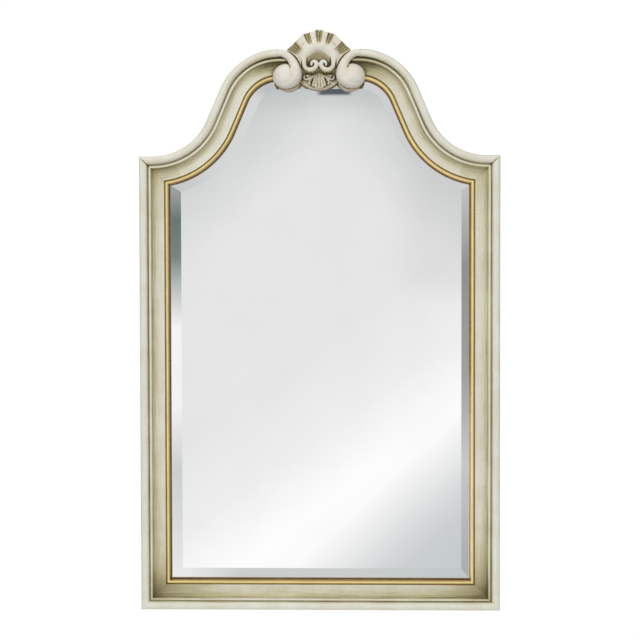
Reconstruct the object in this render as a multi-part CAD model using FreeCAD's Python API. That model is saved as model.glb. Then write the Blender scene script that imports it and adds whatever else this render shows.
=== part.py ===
import FreeCAD, Part
import math
import os

os.makedirs("parts", exist_ok=True)

# A wall mirror in a swan-neck arched frame with a carved crest. Millimetres.
# X runs to the right as seen from the front, Z up, and the front faces -Y. The origin is the middle
# of the bottom edge on the frame's flat back. A height h above that back lies at y = -h.

# Outline of the frame, seen from the front
frame_width = 710.0
shoulder_height = 897.0
arch_height = 1105.4
shoulder_flat = 26.2
crown_centre_x = 78.4
hollow_radius_share = 0.471246
crown_radius_share = 0.505591

# Section of the moulding, from its outer edge to the sight edge
moulding_width = 60.0
frame_depth = 36.0
bead_width = 15.8
quirk_width = 2.2
quirk_depth = 3.0
fillet_width = 4.5
fillet_height = 31.0
fillet_step = 2.5
cove_low_height = 19.5
cove_low_share = 0.42
ridge_width = 1.8
ridge_height = 22.0
slip_width = 10.7
slip_seat_height = 17.0
slip_base = 1.2
slip_bead_width = 7.0
slip_quirk = 2.0

# Glazing: the plate, what cushions it and what closes the back
glass_thickness = 5.0
glass_edge = 2.0
bevel_width = 25.4
glass_cover = 6.4
glass_side_gap = 1.6
lip_clearance = 0.2
board_thickness = 4.0
board_side_gap = 0.8
cushion_thickness = 3.0
cushion_inset = 2.0
block_length = 60.0
block_inset = 205.0
block_rise = 0.4
spacer_length = 40.0
spacer_low = 260.0
spacer_high_drop = 197.0

# Crest: its base plate and the rim that shows under the scrolls. A drop is taken from the arch's top, and a
# lap or a fall from the moulding's sight edge there.
crest_seat_height = 14.0
crest_plate = 6.0
rim_centre_x = 62.0
rim_centre_lap = 4.6
rim_radius = 29.6
rim_cusp_x = 35.8
rim_cusp_fall = 7.4
rim_low_fall = 21.5
plate_side_x = 50.0
plate_side_low_drop = 20.4
plate_side_high_drop = 5.4
plate_top_rise = 28.6
plate_neck_rise = 6.0
centre_drop = 16.0
scroll_shadow = 1.5

# Large scrolls, the ends of the outer bead: centres, radii and tops, the right one
neck_centre_x = 81.2
neck_radius = 48.1
heel_radius = 31.3
boss_centre_x = 64.4
boss_centre_drop = 54.2
boss_radius = 26.2
boss_top = 47.0
boss_side = 29.0
eye_centre_x = 81.2
eye_centre_drop = 37.5
eye_radius = 23.6
eye_tip_angle = 5.0
scroll_top = 46.0
scroll_fade_top = 40.0
scroll_fade_angle = 305.0
band_round_share = 0.46

# Shell: a fan of flutes about its own centre
fan_centre_drop = 38.4
fan_radius = 76.8
fan_rim_height = 33.0
fan_mid_height = 42.0
fan_crown_height = 43.5
fan_foot_drop = 49.4
fan_end_angle = 59.9
fan_end_share = 0.943
fan_shoulder_angle = 23.1
fan_shoulder_share = 0.962
fan_notch_angle = 7.5
fan_notch_share = 0.945
flute_start = 46.0
flute_depth = 4.4
flute_angles = (-50.0, -20.0, 0.0, 20.0, 50.0)
flute_outer_half_widths = (9.4, 6.9, 7.9, 6.9, 9.4)
flute_inner_half_widths = (5.6, 4.3, 5.2, 4.3, 5.6)

# Collar and small scrolls that lie on the shell
collar_seat_height = 34.0
collar_centre_drop = 23.9
collar_radius = 27.0
collar_top_width = 15.0
collar_side_width = 11.0
collar_drop = 7.5
curl_radius = 11.25
curl_width = 8.8
curl_eye_radius = 5.0
curl_eye_width = 7.4
curl_tip_radius = 2.4
curl_tip_width = 4.2
collar_top = 49.0
curl_tip_top = 45.0
hollow_dish_depth = 4.0
hollow_dish_radius = 19.0

# Palmette below the small scrolls
palmette_centre_drop = 43.4
palmette_base = 3.0
palmette_inset = 3.2
palmette_side_gap = 5.0
palmette_top = 40.0
leaf_start = 4.0
leaf_root_radius = 2.6
leaf_rise = 2.0
leaf_sink = 0.7
leaf_angles = (0.0, 18.0, 47.0, 76.0)
leaf_lengths = (28.2, 26.8, 24.6, 23.6)
leaf_radii = (5.2, 4.6, 5.0, 5.0)

# Steel plates that tie the mitres at the back
brace_thickness = 2.0
brace_width = 16.0
brace_leg = 50.0
brace_hole_end = 8.0
brace_hole_pitch = 24.0
crown_brace_length = 90.0
crown_brace_drop = 34.4

# Countersunk wood screws: head, shank and length
screw_head_radius = 3.3
screw_shank_radius = 1.75
screw_head_height = 1.5
screw_length = 13.0
screw_clearance = 0.08
recess_width = 0.8
recess_length = 3.2
recess_depth = 0.9
crest_screw_length = 28.0
crest_screw_x = 52.0
crest_screw_rebate_gap = 7.6

# Turn buttons that hold the backing board, each on its own pan head screw
button_thickness = 1.5
button_radius = 5.5
button_reach = 16.5
button_tail = 3.5
button_rebate_gap = 12.0
button_gap = 0.1
button_screw_radius = 2.0
button_bore_clearance = 0.06
pan_head_radius = 3.9
pan_head_height = 2.2
pan_head_edge = 1.0
pan_crown_share = 0.6
button_low_z = 170.0
button_high_drop = 377.0
button_bottom_inset = 215.0
button_arch_share = 0.402677506

# D ring hangers screwed to the stiles
strap_width = 16.0
strap_length = 46.0
strap_thickness = 1.6
strap_top_drop = 167.0
strap_hole_low = 8.0
strap_hole_pitch = 18.0
ring_wire_radius = 1.5
ring_clearance = 0.08
ring_side_play = 0.9
ring_corner_radius = 3.0
ring_straight = 6.0

# Rubber bumpers that hold the frame off the wall
bumper_radius = 9.0
bumper_thickness = 6.6
bumper_crown_radius = 7.0
bumper_inset = 110.0

# How far a cutting solid runs past what it cuts, and how near two points count as one
overrun = 5.0
same_point = 1e-6

half_width = frame_width / 2
arch_run_width = half_width - shoulder_flat - crown_centre_x
hollow_radius = arch_run_width * hollow_radius_share
crown_radius = arch_run_width * crown_radius_share
hollow_centre = (half_width - shoulder_flat, shoulder_height + hollow_radius)
crown_centre = (crown_centre_x, arch_height - crown_radius)
fillet_start = bead_width + quirk_width
cove_start = fillet_start + fillet_width
cove_end = moulding_width - slip_width - ridge_width
slip_start = moulding_width - slip_width
bead_side_height = frame_depth - bead_width / 2
glass_inset = moulding_width - glass_cover
rebate_inset = glass_inset - glass_side_gap
glass_back = board_thickness + cushion_thickness
glass_front = glass_back + glass_thickness
bevel_rise = (glass_thickness - glass_edge) * glass_cover / bevel_width
lip_back = glass_back + glass_edge + bevel_rise + lip_clearance
crest_front = crest_seat_height + crest_plate
rim_centre_z = arch_height - moulding_width + rim_centre_lap
rim_cusp_z = arch_height - moulding_width - rim_cusp_fall
rim_low_z = arch_height - moulding_width - rim_low_fall
plate_side_low_z = arch_height - plate_side_low_drop
plate_side_high_z = arch_height - plate_side_high_drop
plate_top_z = arch_height + plate_top_rise
neck_centre_z = arch_height - neck_radius
boss_centre_z = arch_height - boss_centre_drop
eye_centre_z = arch_height - eye_centre_drop
fan_centre_z = arch_height - fan_centre_drop
fan_foot_z = arch_height - fan_foot_drop
collar_centre_z = arch_height - collar_centre_drop
palmette_centre_z = arch_height - palmette_centre_drop
crown_brace_z = arch_height - crown_brace_drop
back_line = rebate_inset / 2
button_line = rebate_inset - button_rebate_gap
crest_screw_z = arch_height - rebate_inset + crest_screw_rebate_gap
strap_top_z = shoulder_height - strap_top_drop
back_axis = FreeCAD.Vector(0, -1, 0)
nodes = {}


def at(point, height):
    """A place in the model: a point of the front view at a height above the frame's back."""
    return FreeCAD.Vector(point[0], -height, point[1])


def towards(angle):
    turn = math.radians(angle)
    return (math.cos(turn), math.sin(turn))


def moved(point, direction, distance):
    return (point[0] + direction[0] * distance, point[1] + direction[1] * distance)


def between(one, other, share):
    return tuple(a + (b - a) * share for a, b in zip(one, other))


def mirrored(shape):
    return shape.mirror(FreeCAD.Vector(0, 0, 0), FreeCAD.Vector(1, 0, 0))


def flipped(point):
    return (-point[0], point[1])


def chain(steps, place):
    """A closed wire through steps: each is a point to draw a line to, or a (middle, end) pair for an arc."""
    first = place(steps[0])
    here = first
    edges = []
    for step in steps[1:]:
        if isinstance(step[0], tuple):
            end = place(step[1])
            edges.append(Part.Arc(here, place(step[0]), end).toShape())
        else:
            end = place(step)
            edges.append(Part.LineSegment(here, end).toShape())
        here = end
    if not here.isEqual(first, same_point):
        edges.append(Part.LineSegment(here, first).toShape())
    return Part.Wire(edges)


def arc_step(centre, radius, start_angle, end_angle):
    """The (middle, end) pair of an arc about a centre of the front view."""
    middle = moved(centre, towards((start_angle + end_angle) / 2), radius)
    return (middle, moved(centre, towards(end_angle), radius))


def slab(steps, low, high):
    """A flat solid with an outline of the front view, between two heights."""
    face = Part.Face(chain(steps, lambda point: at(point, low)))
    return face.extrude(at((0, 0), high) - at((0, 0), low))


def disc(centre, radius, low, high):
    return Part.makeCylinder(radius, high - low, at(centre, low), back_axis)


def joined(pieces):
    return pieces[0].multiFuse(pieces[1:]).removeSplitter()


def keep(name, shape):
    nodes[name] = shape


# The moulding as it runs round the frame


def member_section():
    """Corners of a frame member, as (distance from the outer edge, height)."""
    bead_middle = (bead_width / 2, frame_depth)
    quirk_floor = fillet_height - quirk_depth
    cove_low = (cove_start + (cove_end - cove_start) * cove_low_share, cove_low_height)
    return [
        (0, 0),
        (0, bead_side_height),
        (bead_middle, (bead_width, bead_side_height)),
        (bead_width, quirk_floor),
        (fillet_start, quirk_floor),
        (fillet_start, fillet_height),
        (cove_start, fillet_height),
        (cove_start, fillet_height - fillet_step),
        (cove_low, (cove_end, ridge_height)),
        (slip_start, ridge_height),
        (slip_start, slip_seat_height),
        (moulding_width, slip_seat_height),
        (moulding_width, lip_back),
        (rebate_inset, lip_back),
        (rebate_inset, 0),
    ]


def slip_section():
    """Corners of the gilded slip that lies in the member's step."""
    base = slip_seat_height + slip_base
    bead_start = slip_start + slip_quirk
    bead_end = bead_start + slip_bead_width
    bead_middle = (bead_start + slip_bead_width / 2, base + slip_bead_width / 2)
    return [
        (slip_start, slip_seat_height),
        (slip_start, base),
        (bead_start, base),
        (bead_middle, (bead_end, base)),
        (moulding_width, base),
        (moulding_width, slip_seat_height),
    ]


def section_face(section, start, inward):
    return Part.Face(chain(section, lambda p: at(moved(start, inward, p[0]), p[1])))


def straight_run(section, start, end, inward):
    return section_face(section, start, inward).extrude(at(end, 0) - at(start, 0))


def curved_run(section, centre, radius, start_angle, end_angle, inward_sign):
    start = moved(centre, towards(start_angle), radius)
    inward = moved((0, 0), towards(start_angle), inward_sign)
    face = section_face(section, start, inward)
    return face.revolve(at(centre, 0), back_axis, end_angle - start_angle)


def tangent_angle():
    """Where the straight neck touches the crown's circle: it crosses between the two circles."""
    across = (hollow_centre[0] - crown_centre[0], hollow_centre[1] - crown_centre[1])
    gap = math.hypot(*across)
    return math.degrees(math.atan2(across[1], across[0]) + math.acos((hollow_radius + crown_radius) / gap))


def shoulder_corner(inset):
    """The corner where the stile meets the top rail, at a distance in from the outer edge."""
    x = half_width - inset
    if inset <= shoulder_flat:
        return (x, shoulder_height - inset)
    rise = math.sqrt((hollow_radius + inset) ** 2 - (hollow_centre[0] - x) ** 2)
    return (x, hollow_centre[1] - rise)


def arch_run(section):
    """The right half of the arch: shoulder flat, hollow, straight neck, crown and the flat middle."""
    touch = tangent_angle()
    down = (0, -1)
    shoulder = (half_width, shoulder_height)
    hollow_foot = (hollow_centre[0], shoulder_height)
    hollow_end = moved(hollow_centre, towards(touch), -hollow_radius)
    crown_start = moved(crown_centre, towards(touch), crown_radius)
    crown_top = (crown_centre[0], arch_height)
    return joined(
        [
            straight_run(section, shoulder, hollow_foot, down),
            curved_run(section, hollow_centre, hollow_radius, 270, touch + 180, 1),
            straight_run(section, hollow_end, crown_start, moved((0, 0), towards(touch), -1)),
            curved_run(section, crown_centre, crown_radius, touch, 90, -1),
            straight_run(section, crown_top, (0, arch_height), down),
        ]
    )


def stile_zone():
    """The space of the right stile: it ends at both mitres."""
    deep = moulding_width + overrun
    curved_middle = shoulder_corner((deep + shoulder_flat) / 2)
    outline = [
        (half_width + overrun, -overrun),
        (half_width + overrun, shoulder_height + overrun),
        shoulder_corner(shoulder_flat),
        (curved_middle, shoulder_corner(deep)),
        (half_width - deep, deep),
    ]
    return slab(outline, -overrun, frame_depth + overrun)


def panel_outline(inset):
    """The outline of a panel that follows the frame, at a distance in from the outer edge."""
    touch = tangent_angle()
    corner = shoulder_corner(inset)
    hollow = hollow_radius + inset
    crown = crown_radius - inset
    rise = corner[1] - hollow_centre[1]
    run = corner[0] - hollow_centre[0]
    corner_angle = 360 + math.degrees(math.atan2(rise, run))
    hollow_arc = arc_step(hollow_centre, hollow, corner_angle, touch + 180)
    crown_start = moved(crown_centre, towards(touch), crown)
    crown_arc = arc_step(crown_centre, crown, touch, 90)
    crown_back = (flipped(crown_arc[0]), flipped(crown_start))
    hollow_back = (flipped(hollow_arc[0]), flipped(corner))
    return [
        (inset - half_width, inset),
        (half_width - inset, inset),
        corner,
        hollow_arc,
        crown_start,
        crown_arc,
        flipped(crown_arc[1]),
        crown_back,
        flipped(hollow_arc[1]),
        hollow_back,
    ]


# Outlines of the crest, right half unless it says both


def scroll_outline():
    """A large scroll from the front: neck over the top, heel, round the boss and back to the eye's tip."""
    neck = (neck_centre_x, neck_centre_z)
    eye = (eye_centre_x, eye_centre_z)
    boss = (boss_centre_x, boss_centre_z)
    heel_end = (boss_centre_x, boss_centre_z - boss_radius)
    heel_start = (neck_centre_x - neck_radius, neck_centre_z)
    heel = (boss_centre_x, heel_end[1] + heel_radius)
    tip = moved(eye, towards(180 - eye_tip_angle), eye_radius)
    boss_head = (boss_centre_x, boss_centre_z + boss_radius)
    boss_side_point = (boss_centre_x + boss_radius, boss_centre_z)
    brow = (between(boss_head, tip, 1 / 2)[0], between(boss_head, tip, 1 / 4)[1])
    return [
        (neck_centre_x, arch_height),
        (moved(neck, towards(135), neck_radius), heel_start),
        (moved(heel, towards(225), heel_radius), heel_end),
        (boss_side_point, boss_head),
        (brow, tip),
        (moved(eye, towards(135), eye_radius), (eye_centre_x, arch_height - bead_width)),
    ]


def base_outline():
    """The crest's base plate, both halves: rims under the scrolls and the palmette, then under the shell."""
    cusp = (rim_cusp_x, rim_cusp_z)
    rim_low = (rim_centre_x, rim_centre_z - rim_radius)
    rim_side = (rim_centre_x + rim_radius, rim_centre_z)
    inner = (boss_centre_x + boss_radius / 3, boss_centre_z + boss_radius / 3)
    neck = (plate_side_x, crest_screw_z + plate_neck_rise)
    low_side = (plate_side_x, plate_side_low_z)
    high_side = (plate_side_x, plate_side_high_z)
    return [
        cusp,
        (rim_low, rim_side),
        inner,
        neck,
        low_side,
        high_side,
        ((0, plate_top_z), flipped(high_side)),
        flipped(low_side),
        flipped(neck),
        flipped(inner),
        flipped(rim_side),
        (flipped(rim_low), flipped(cusp)),
        ((0, rim_low_z), cusp),
    ]


def fan_point(angle, share):
    return moved((0, fan_centre_z), towards(90 - angle), fan_radius * share)


def fan_outline():
    end = fan_point(fan_end_angle, fan_end_share)
    shoulder = fan_point(fan_shoulder_angle, fan_shoulder_share)
    notch = fan_point(fan_notch_angle, fan_notch_share)
    foot = (rim_cusp_x, fan_foot_z)
    return [
        foot,
        end,
        shoulder,
        notch,
        (fan_point(0, 1), flipped(notch)),
        flipped(shoulder),
        flipped(end),
        flipped(foot),
    ]


def past_scroll_outline():
    """What the top rails lose above the scroll, so that nothing of them shows past its neck."""
    neck = (neck_centre_x, neck_centre_z)
    radius = neck_radius - scroll_shadow
    level = arch_height - centre_drop
    level_angle = 180 - math.degrees(math.asin((level - neck_centre_z) / radius))
    above = arch_height + overrun
    return [
        (neck_centre_x, above),
        (neck_centre_x, neck_centre_z + radius),
        arc_step(neck, radius, 90, level_angle),
        (-overrun, level),
        (-overrun, above),
    ]


# Solids of the crest


def domed_section(outer, inner, base, top):
    """A section across a scroll's band: upright sides and nearly a half round on top."""
    width = math.dist(outer, inner)
    side = top - width * band_round_share
    across = ((inner[0] - outer[0]) / width, (inner[1] - outer[1]) / width)
    steps = [(0, base), (0, side), ((width / 2, top), (width, side)), (width, base)]
    return chain(steps, lambda p: at(moved(outer, across, p[0]), p[1]))


def lathe(steps, centre):
    """A solid turned about a line square to the frame, from corners given as (radius, height)."""
    face = Part.Face(chain(steps, lambda p: at((centre[0] + p[0], centre[1]), p[1])))
    return face.revolve(at(centre, 0), back_axis, 360)


def dome(centre, radius, base, side, top):
    rise = top - side
    ball = (radius**2 + rise**2) / (2 * rise)
    half_angle = math.asin(radius / ball) / 2
    middle = (ball * math.sin(half_angle), top - ball + ball * math.cos(half_angle))
    return lathe([(0, base), (radius, base), (radius, side), (middle, (0, top))], centre)


def large_scroll():
    """The right scroll: the outer bead swells, turns down and in, and ends in a round boss."""
    neck = (neck_centre_x, neck_centre_z)
    eye = (eye_centre_x, eye_centre_z)
    boss = (boss_centre_x, boss_centre_z)
    heel = (boss_centre_x, boss_centre_z - boss_radius + heel_radius)
    tip = moved(eye, towards(180 - eye_tip_angle), eye_radius)
    swell = scroll_top - frame_depth
    root = crest_front - overrun
    outer_start = (neck_centre_x, arch_height)
    inner_start = (neck_centre_x, arch_height - bead_width)
    sections = [domed_section(outer_start, inner_start, root, frame_depth)]
    for share in (1 / 4, 1 / 2, 3 / 4, 1):
        outer = moved(neck, towards(90 + 90 * share), neck_radius)
        inner = moved(eye, towards(90 + (90 - eye_tip_angle) * share), eye_radius)
        sections.append(domed_section(outer, inner, root, frame_depth + swell * share))
    for share in (1 / 3, 2 / 3, 1):
        outer = moved(heel, towards(180 + 90 * share), heel_radius)
        inner = between(tip, boss, share)
        top = scroll_top + (scroll_fade_top - scroll_top) * share / 2
        sections.append(domed_section(outer, inner, root, top))
    faded = moved(boss, towards(scroll_fade_angle), boss_radius)
    sections.append(domed_section(faded, boss, root, scroll_fade_top))
    band = Part.makeLoft(sections, True, False)
    knob = dome(boss, boss_radius, root, boss_side, boss_top)
    space = slab(scroll_outline(), crest_front, boss_top + overrun)
    return joined([band, knob]).common(space).removeSplitter()


def flute_cutter(angle, outer_half, inner_half):
    """A tapered round cutter along a ray of the fan, sunk by the flute's depth."""
    reach = fan_radius + overrun
    outer_radius = (outer_half**2 + flute_depth**2) / (2 * flute_depth)
    inner_radius = (inner_half**2 + flute_depth**2) / (2 * flute_depth)
    ray = towards(90 - angle)
    centre = (0, fan_centre_z)
    inner = at(moved(centre, ray, flute_start), fan_mid_height + inner_radius - flute_depth)
    outer = at(moved(centre, ray, reach), fan_rim_height + outer_radius - flute_depth)
    along = outer - inner
    return Part.makeCone(inner_radius, outer_radius, along.Length, inner, along)


def shell_solid():
    """The fan of the shell, with flutes, a dish for the hollow and a flat seat for the collar."""
    reach = fan_radius + overrun
    turned = lathe(
        [
            (0, crest_front),
            (reach, crest_front),
            (reach, fan_rim_height),
            ((reach / 2, fan_mid_height), (0, fan_crown_height)),
        ],
        (0, fan_centre_z),
    )
    high = fan_crown_height + overrun
    fan = turned.common(slab(fan_outline(), crest_front, high))
    collar_outer = collar_radius + collar_top_width / 2
    seat = [
        (collar_outer, fan_foot_z - overrun),
        (collar_outer, collar_centre_z),
        arc_step((0, collar_centre_z), collar_outer, 0, 180),
        (-collar_outer, fan_foot_z - overrun),
    ]
    scroll = slab(scroll_outline(), crest_front, high)
    cutters = [slab(seat, collar_seat_height, high), scroll, mirrored(scroll)]
    for angle, outer_half, inner_half in zip(flute_angles, flute_outer_half_widths, flute_inner_half_widths):
        cutters.append(flute_cutter(angle, outer_half, inner_half))
    ball = (hollow_dish_radius**2 + hollow_dish_depth**2) / (2 * hollow_dish_depth)
    ball_height = collar_seat_height - hollow_dish_depth + ball
    cutters.append(Part.makeSphere(ball, at((0, collar_centre_z), ball_height)))
    for cutter in cutters:
        fan = fan.cut(cutter)
    return fan.removeSplitter()


def small_scroll():
    """The right half of the collar with the scroll that it curls into, lying on the shell."""
    collar = (0, collar_centre_z)
    curl_z = collar_centre_z - collar_drop
    curl = (collar_radius - curl_radius, curl_z)
    eye = (curl[0] - curl_radius + curl_eye_radius, curl_z)
    tip = (eye[0] + curl_eye_radius - curl_tip_radius, curl_z)
    thirds = (0, 1 / 3, 2 / 3, 1)
    stretches = [
        (collar, 90, 0, collar_radius, collar_top_width, collar_side_width, thirds),
        (curl, 0, -90, curl_radius, collar_side_width, curl_width, thirds),
        (curl, -90, -180, curl_radius, curl_width, curl_width, thirds),
        (eye, 180, 90, curl_eye_radius, curl_width, curl_eye_width, thirds),
        (eye, 90, 0, curl_eye_radius, curl_eye_width, curl_tip_width, thirds),
        (tip, 0, -90, curl_tip_radius, curl_tip_width, curl_tip_width, thirds),
    ]
    fall = (collar_top - curl_tip_top) / len(stretches)
    pieces = []
    last = None
    for number, (centre, start, end, radius, width, next_width, shares) in enumerate(stretches):
        sections = []
        for share in shares:
            way = towards(start + (end - start) * share)
            half = (width + (next_width - width) * share) / 2
            outer = moved(centre, way, radius + half)
            inner = moved(centre, way, radius - half)
            top = collar_top - fall * (number + share)
            sections.append(domed_section(outer, inner, collar_seat_height, top))
        if last:
            pieces.append(Part.makeLoft([last, sections[0]], True, True))
        pieces.append(Part.makeLoft(sections, True, False))
        last = sections[-1] if centre == collar else None
    return joined(pieces)


def leaf(angle, length, radius, floor):
    """One rounded leaf: a taper that ends in a ball and lies half sunk in the palmette's floor."""
    centre = (0, palmette_centre_z)
    way = towards(angle - 90)
    root = at(moved(centre, way, leaf_start), floor + leaf_rise)
    along = at(moved(centre, way, length), floor - leaf_sink) - root
    reach = along.Length
    half_round = moved((reach, 0), towards(45), radius)
    steps = [(0, 0), (0, leaf_root_radius), (reach, radius), (half_round, (reach + radius, 0))]
    face = Part.Face(chain(steps, lambda p: FreeCAD.Vector(p[0], p[1], 0)))
    axis = FreeCAD.Vector(1, 0, 0)
    turned = face.revolve(FreeCAD.Vector(0, 0, 0), axis, 360)
    turned.Placement = FreeCAD.Placement(root, FreeCAD.Rotation(axis, along))
    return turned


def palmette_solid():
    """Seven rounded leaves that spread down from under the small scrolls, on a thin plate."""
    side = rim_cusp_x - palmette_side_gap
    shoulder_z = rim_cusp_z + palmette_inset
    low = (0, rim_low_z + palmette_inset)
    whole_arc = Part.Arc(at((side, shoulder_z), 0), at(low, 0), at((-side, shoulder_z), 0))
    middle = whole_arc.value((whole_arc.FirstParameter * 3 + whole_arc.LastParameter) / 4)
    outline = [(0, fan_foot_z), (side, fan_foot_z), (side, shoulder_z), ((middle.x, middle.z), low)]
    floor = crest_front + palmette_base
    pieces = [slab(outline, crest_front, floor)]
    pieces += [leaf(*sizes, floor) for sizes in zip(leaf_angles, leaf_lengths, leaf_radii)]
    half = joined(pieces).common(slab(outline, crest_front, palmette_top))
    return joined([half, mirrored(half)])


# Screws, all driven from the back: a point of the front view and how far the head stands behind the back


def recess(head_top):
    bars = []
    for length, width in ((recess_length, recess_width), (recess_width, recess_length)):
        corner = at((-length / 2, -width / 2), head_top + recess_depth)
        bars.append(Part.makeBox(length, recess_depth + overrun, width, corner))
    return bars[0].fuse(bars[1])


def pointed_shank(radius, low, high):
    """A screw's shank between two heights, with its last stretch drawn to a point."""
    point = 2 * radius
    shank = Part.makeCylinder(radius, high - point - low, at((0, 0), low), back_axis)
    tip = Part.makeCone(radius, 0, point, at((0, 0), high - point), back_axis)
    return [shank, tip]


def flat_head_screw(behind, length):
    """A countersunk screw, its head flush with a face that stands behind the frame's back."""
    head = Part.makeCone(
        screw_head_radius, screw_shank_radius, screw_head_height, at((0, 0), -behind), back_axis
    )
    shank = pointed_shank(screw_shank_radius, screw_head_height - behind, length - behind)
    return joined([head, *shank]).cut(recess(-behind))


def flat_head_hole(point, behind, length):
    """Room for a countersunk screw, with its clearance."""
    head = Part.makeCone(
        screw_head_radius + screw_clearance,
        screw_shank_radius + screw_clearance,
        screw_head_height,
        at(point, -behind),
        back_axis,
    )
    radius = screw_shank_radius + screw_clearance
    low = -behind - overrun
    mouth = disc(point, screw_head_radius + screw_clearance, low, -behind)
    return joined([mouth, head, disc(point, radius, -behind, length - behind)])


def pan_head_screw():
    """The screw that a turn button swings on: its head stands clear of the button."""
    under = -(button_gap + button_thickness + button_gap)
    edge = under - pan_head_edge
    top = under - pan_head_height
    rim = disc((0, 0), pan_head_radius, edge, under)
    crown = Part.makeCone(
        pan_head_radius * pan_crown_share, pan_head_radius, edge - top, at((0, 0), top), back_axis
    )
    shank = pointed_shank(button_screw_radius, under, under + screw_length)
    return joined([rim, crown, *shank]).cut(recess(top))


def group(shapes):
    return Part.makeCompound(shapes)


def copies(shape, points):
    return group([shape.translated(at(point, 0)) for point in points])


# Where the hardware sits


def brace_corners():
    """Corner point and the way its upright leg runs, for the two right corner braces."""
    lower = (half_width - back_line, back_line)
    return {"lower": (lower, 1), "upper": (shoulder_corner(back_line), -1)}


def brace_holes(corner, way):
    far = brace_leg - brace_hole_end
    near = far - brace_hole_pitch
    upright = [(corner[0], corner[1] + way * reach) for reach in (near, far)]
    level = [(corner[0] - reach, corner[1]) for reach in (near, far)]
    return upright + level


def crown_brace_holes():
    far = crown_brace_length / 2 - brace_hole_end
    near = far - brace_hole_pitch
    return [(x, crown_brace_z) for x in (-far, -near, near, far)]


def strap_holes():
    low = strap_top_z - strap_length + strap_hole_low
    return [(half_width - back_line, z) for z in (low, low + strap_hole_pitch)]


def button_stations():
    """Pivot of each right-hand turn button and the direction towards the board."""
    stile_x = half_width - button_line
    touch = tangent_angle()
    arch_way = towards(touch + (90 - touch) * button_arch_share)
    arch = moved(crown_centre, arch_way, crown_radius - button_line)
    return [
        ((half_width - button_bottom_inset, button_line), (0, 1)),
        ((stile_x, button_low_z), (-1, 0)),
        ((stile_x, shoulder_height - button_high_drop), (-1, 0)),
        (arch, moved((0, 0), arch_way, -1)),
    ]


def both_sides(points):
    return points + [flipped(point) for point in points]


# Pieces of hardware


def corner_brace(corner, way):
    half = brace_width / 2
    offsets = [
        (half, -half),
        (half, brace_leg),
        (-half, brace_leg),
        (-half, half),
        (-brace_leg, half),
        (-brace_leg, -half),
    ]
    outline = [(corner[0] + x, corner[1] + way * z) for x, z in offsets]
    plate = slab(outline, -brace_thickness, 0)
    for point in brace_holes(corner, way):
        plate = plate.cut(flat_head_hole(point, brace_thickness, screw_length))
    return plate


def crown_brace():
    end = crown_brace_length / 2
    low = crown_brace_z - brace_width / 2
    high = crown_brace_z + brace_width / 2
    plate = slab([(-end, low), (end, low), (end, high), (-end, high)], -brace_thickness, 0)
    for point in crown_brace_holes():
        plate = plate.cut(flat_head_hole(point, brace_thickness, screw_length))
    return plate


def turn_button(pivot, way):
    """A flat tab with round ends that turns on its screw."""
    across = (-way[1], way[0])
    tail = moved(pivot, way, -button_tail)
    nose = moved(pivot, way, button_reach)
    outline = [
        moved(tail, across, -button_radius),
        moved(nose, across, -button_radius),
        (moved(nose, way, button_radius), moved(nose, across, button_radius)),
        moved(tail, across, button_radius),
        (moved(tail, way, -button_radius), moved(tail, across, -button_radius)),
    ]
    plate = slab(outline, -(button_gap + button_thickness), -button_gap)
    bore = button_screw_radius + button_bore_clearance
    return plate.cut(disc(pivot, bore, -(button_gap + button_thickness + overrun), overrun))


def hanger_strap():
    """A strap whose top end is rolled into a loop round the ring's bar."""
    x = half_width - back_line
    half = strap_width / 2
    low = strap_top_z - strap_length + half
    inner = ring_wire_radius + ring_clearance
    outer = inner + strap_thickness
    outline = [
        (x - half, strap_top_z),
        (x - half, low),
        ((x, low - half), (x + half, low)),
        (x + half, strap_top_z),
    ]
    along = FreeCAD.Vector(1, 0, 0)
    loop_end = at((x - half, strap_top_z), -outer)
    loop = Part.makeCylinder(outer, strap_width, loop_end, along)
    past_end = loop_end - along * overrun
    bore = Part.makeCylinder(inner, strap_width + 2 * overrun, past_end, along)
    strap = joined([slab(outline, -strap_thickness, 0), loop]).cut(bore)
    for point in strap_holes():
        strap = strap.cut(flat_head_hole(point, strap_thickness, screw_length))
    return strap


def hanger_ring():
    """A D of round wire: its bar lies in the strap's loop and its bow hangs over the strap."""
    x = half_width - back_line
    level = -(ring_wire_radius + ring_clearance + strap_thickness)
    bar = strap_width / 2 + ring_side_play
    bow = bar + ring_corner_radius
    wire_normal = FreeCAD.Vector(1, 0, 0)
    side_z = strap_top_z - ring_corner_radius
    bow_z = side_z - ring_straight

    def wire_face(point, normal):
        edge = Part.makeCircle(ring_wire_radius, at(point, level), normal)
        return Part.Face(Part.Wire([edge]))

    down = FreeCAD.Vector(0, 0, -1)
    pieces = [wire_face((x - bar, strap_top_z), wire_normal).extrude(wire_normal * (2 * bar))]
    for side in (-1, 1):
        corner = at((x + side * bar, side_z), level)
        start = wire_face((x + side * bar, strap_top_z), wire_normal)
        pieces.append(start.revolve(corner, back_axis, -90 * side))
        limb = wire_face((x + side * bow, side_z), down)
        pieces.append(limb.extrude(down * ring_straight))
    bow_start = wire_face((x + bow, bow_z), down)
    pieces.append(bow_start.revolve(at((x, bow_z), level), back_axis, -180))
    return joined(pieces)


def wall_bumper():
    return Part.makeCone(
        bumper_crown_radius,
        bumper_radius,
        bumper_thickness,
        at((half_width - bumper_inset, back_line), -bumper_thickness),
        back_axis,
    )


# The frame: five members, mitred, seated for the crest and drilled for the screws

zone = stile_zone()
zones = [zone, mirrored(zone)]
crest_seats = [
    slab(base_outline(), crest_seat_height, frame_depth + overrun),
    slab(scroll_outline(), crest_front, frame_depth + overrun),
]
crest_seats.append(mirrored(crest_seats[1]))
past_scroll = slab(past_scroll_outline(), -overrun, frame_depth + overrun)

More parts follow.
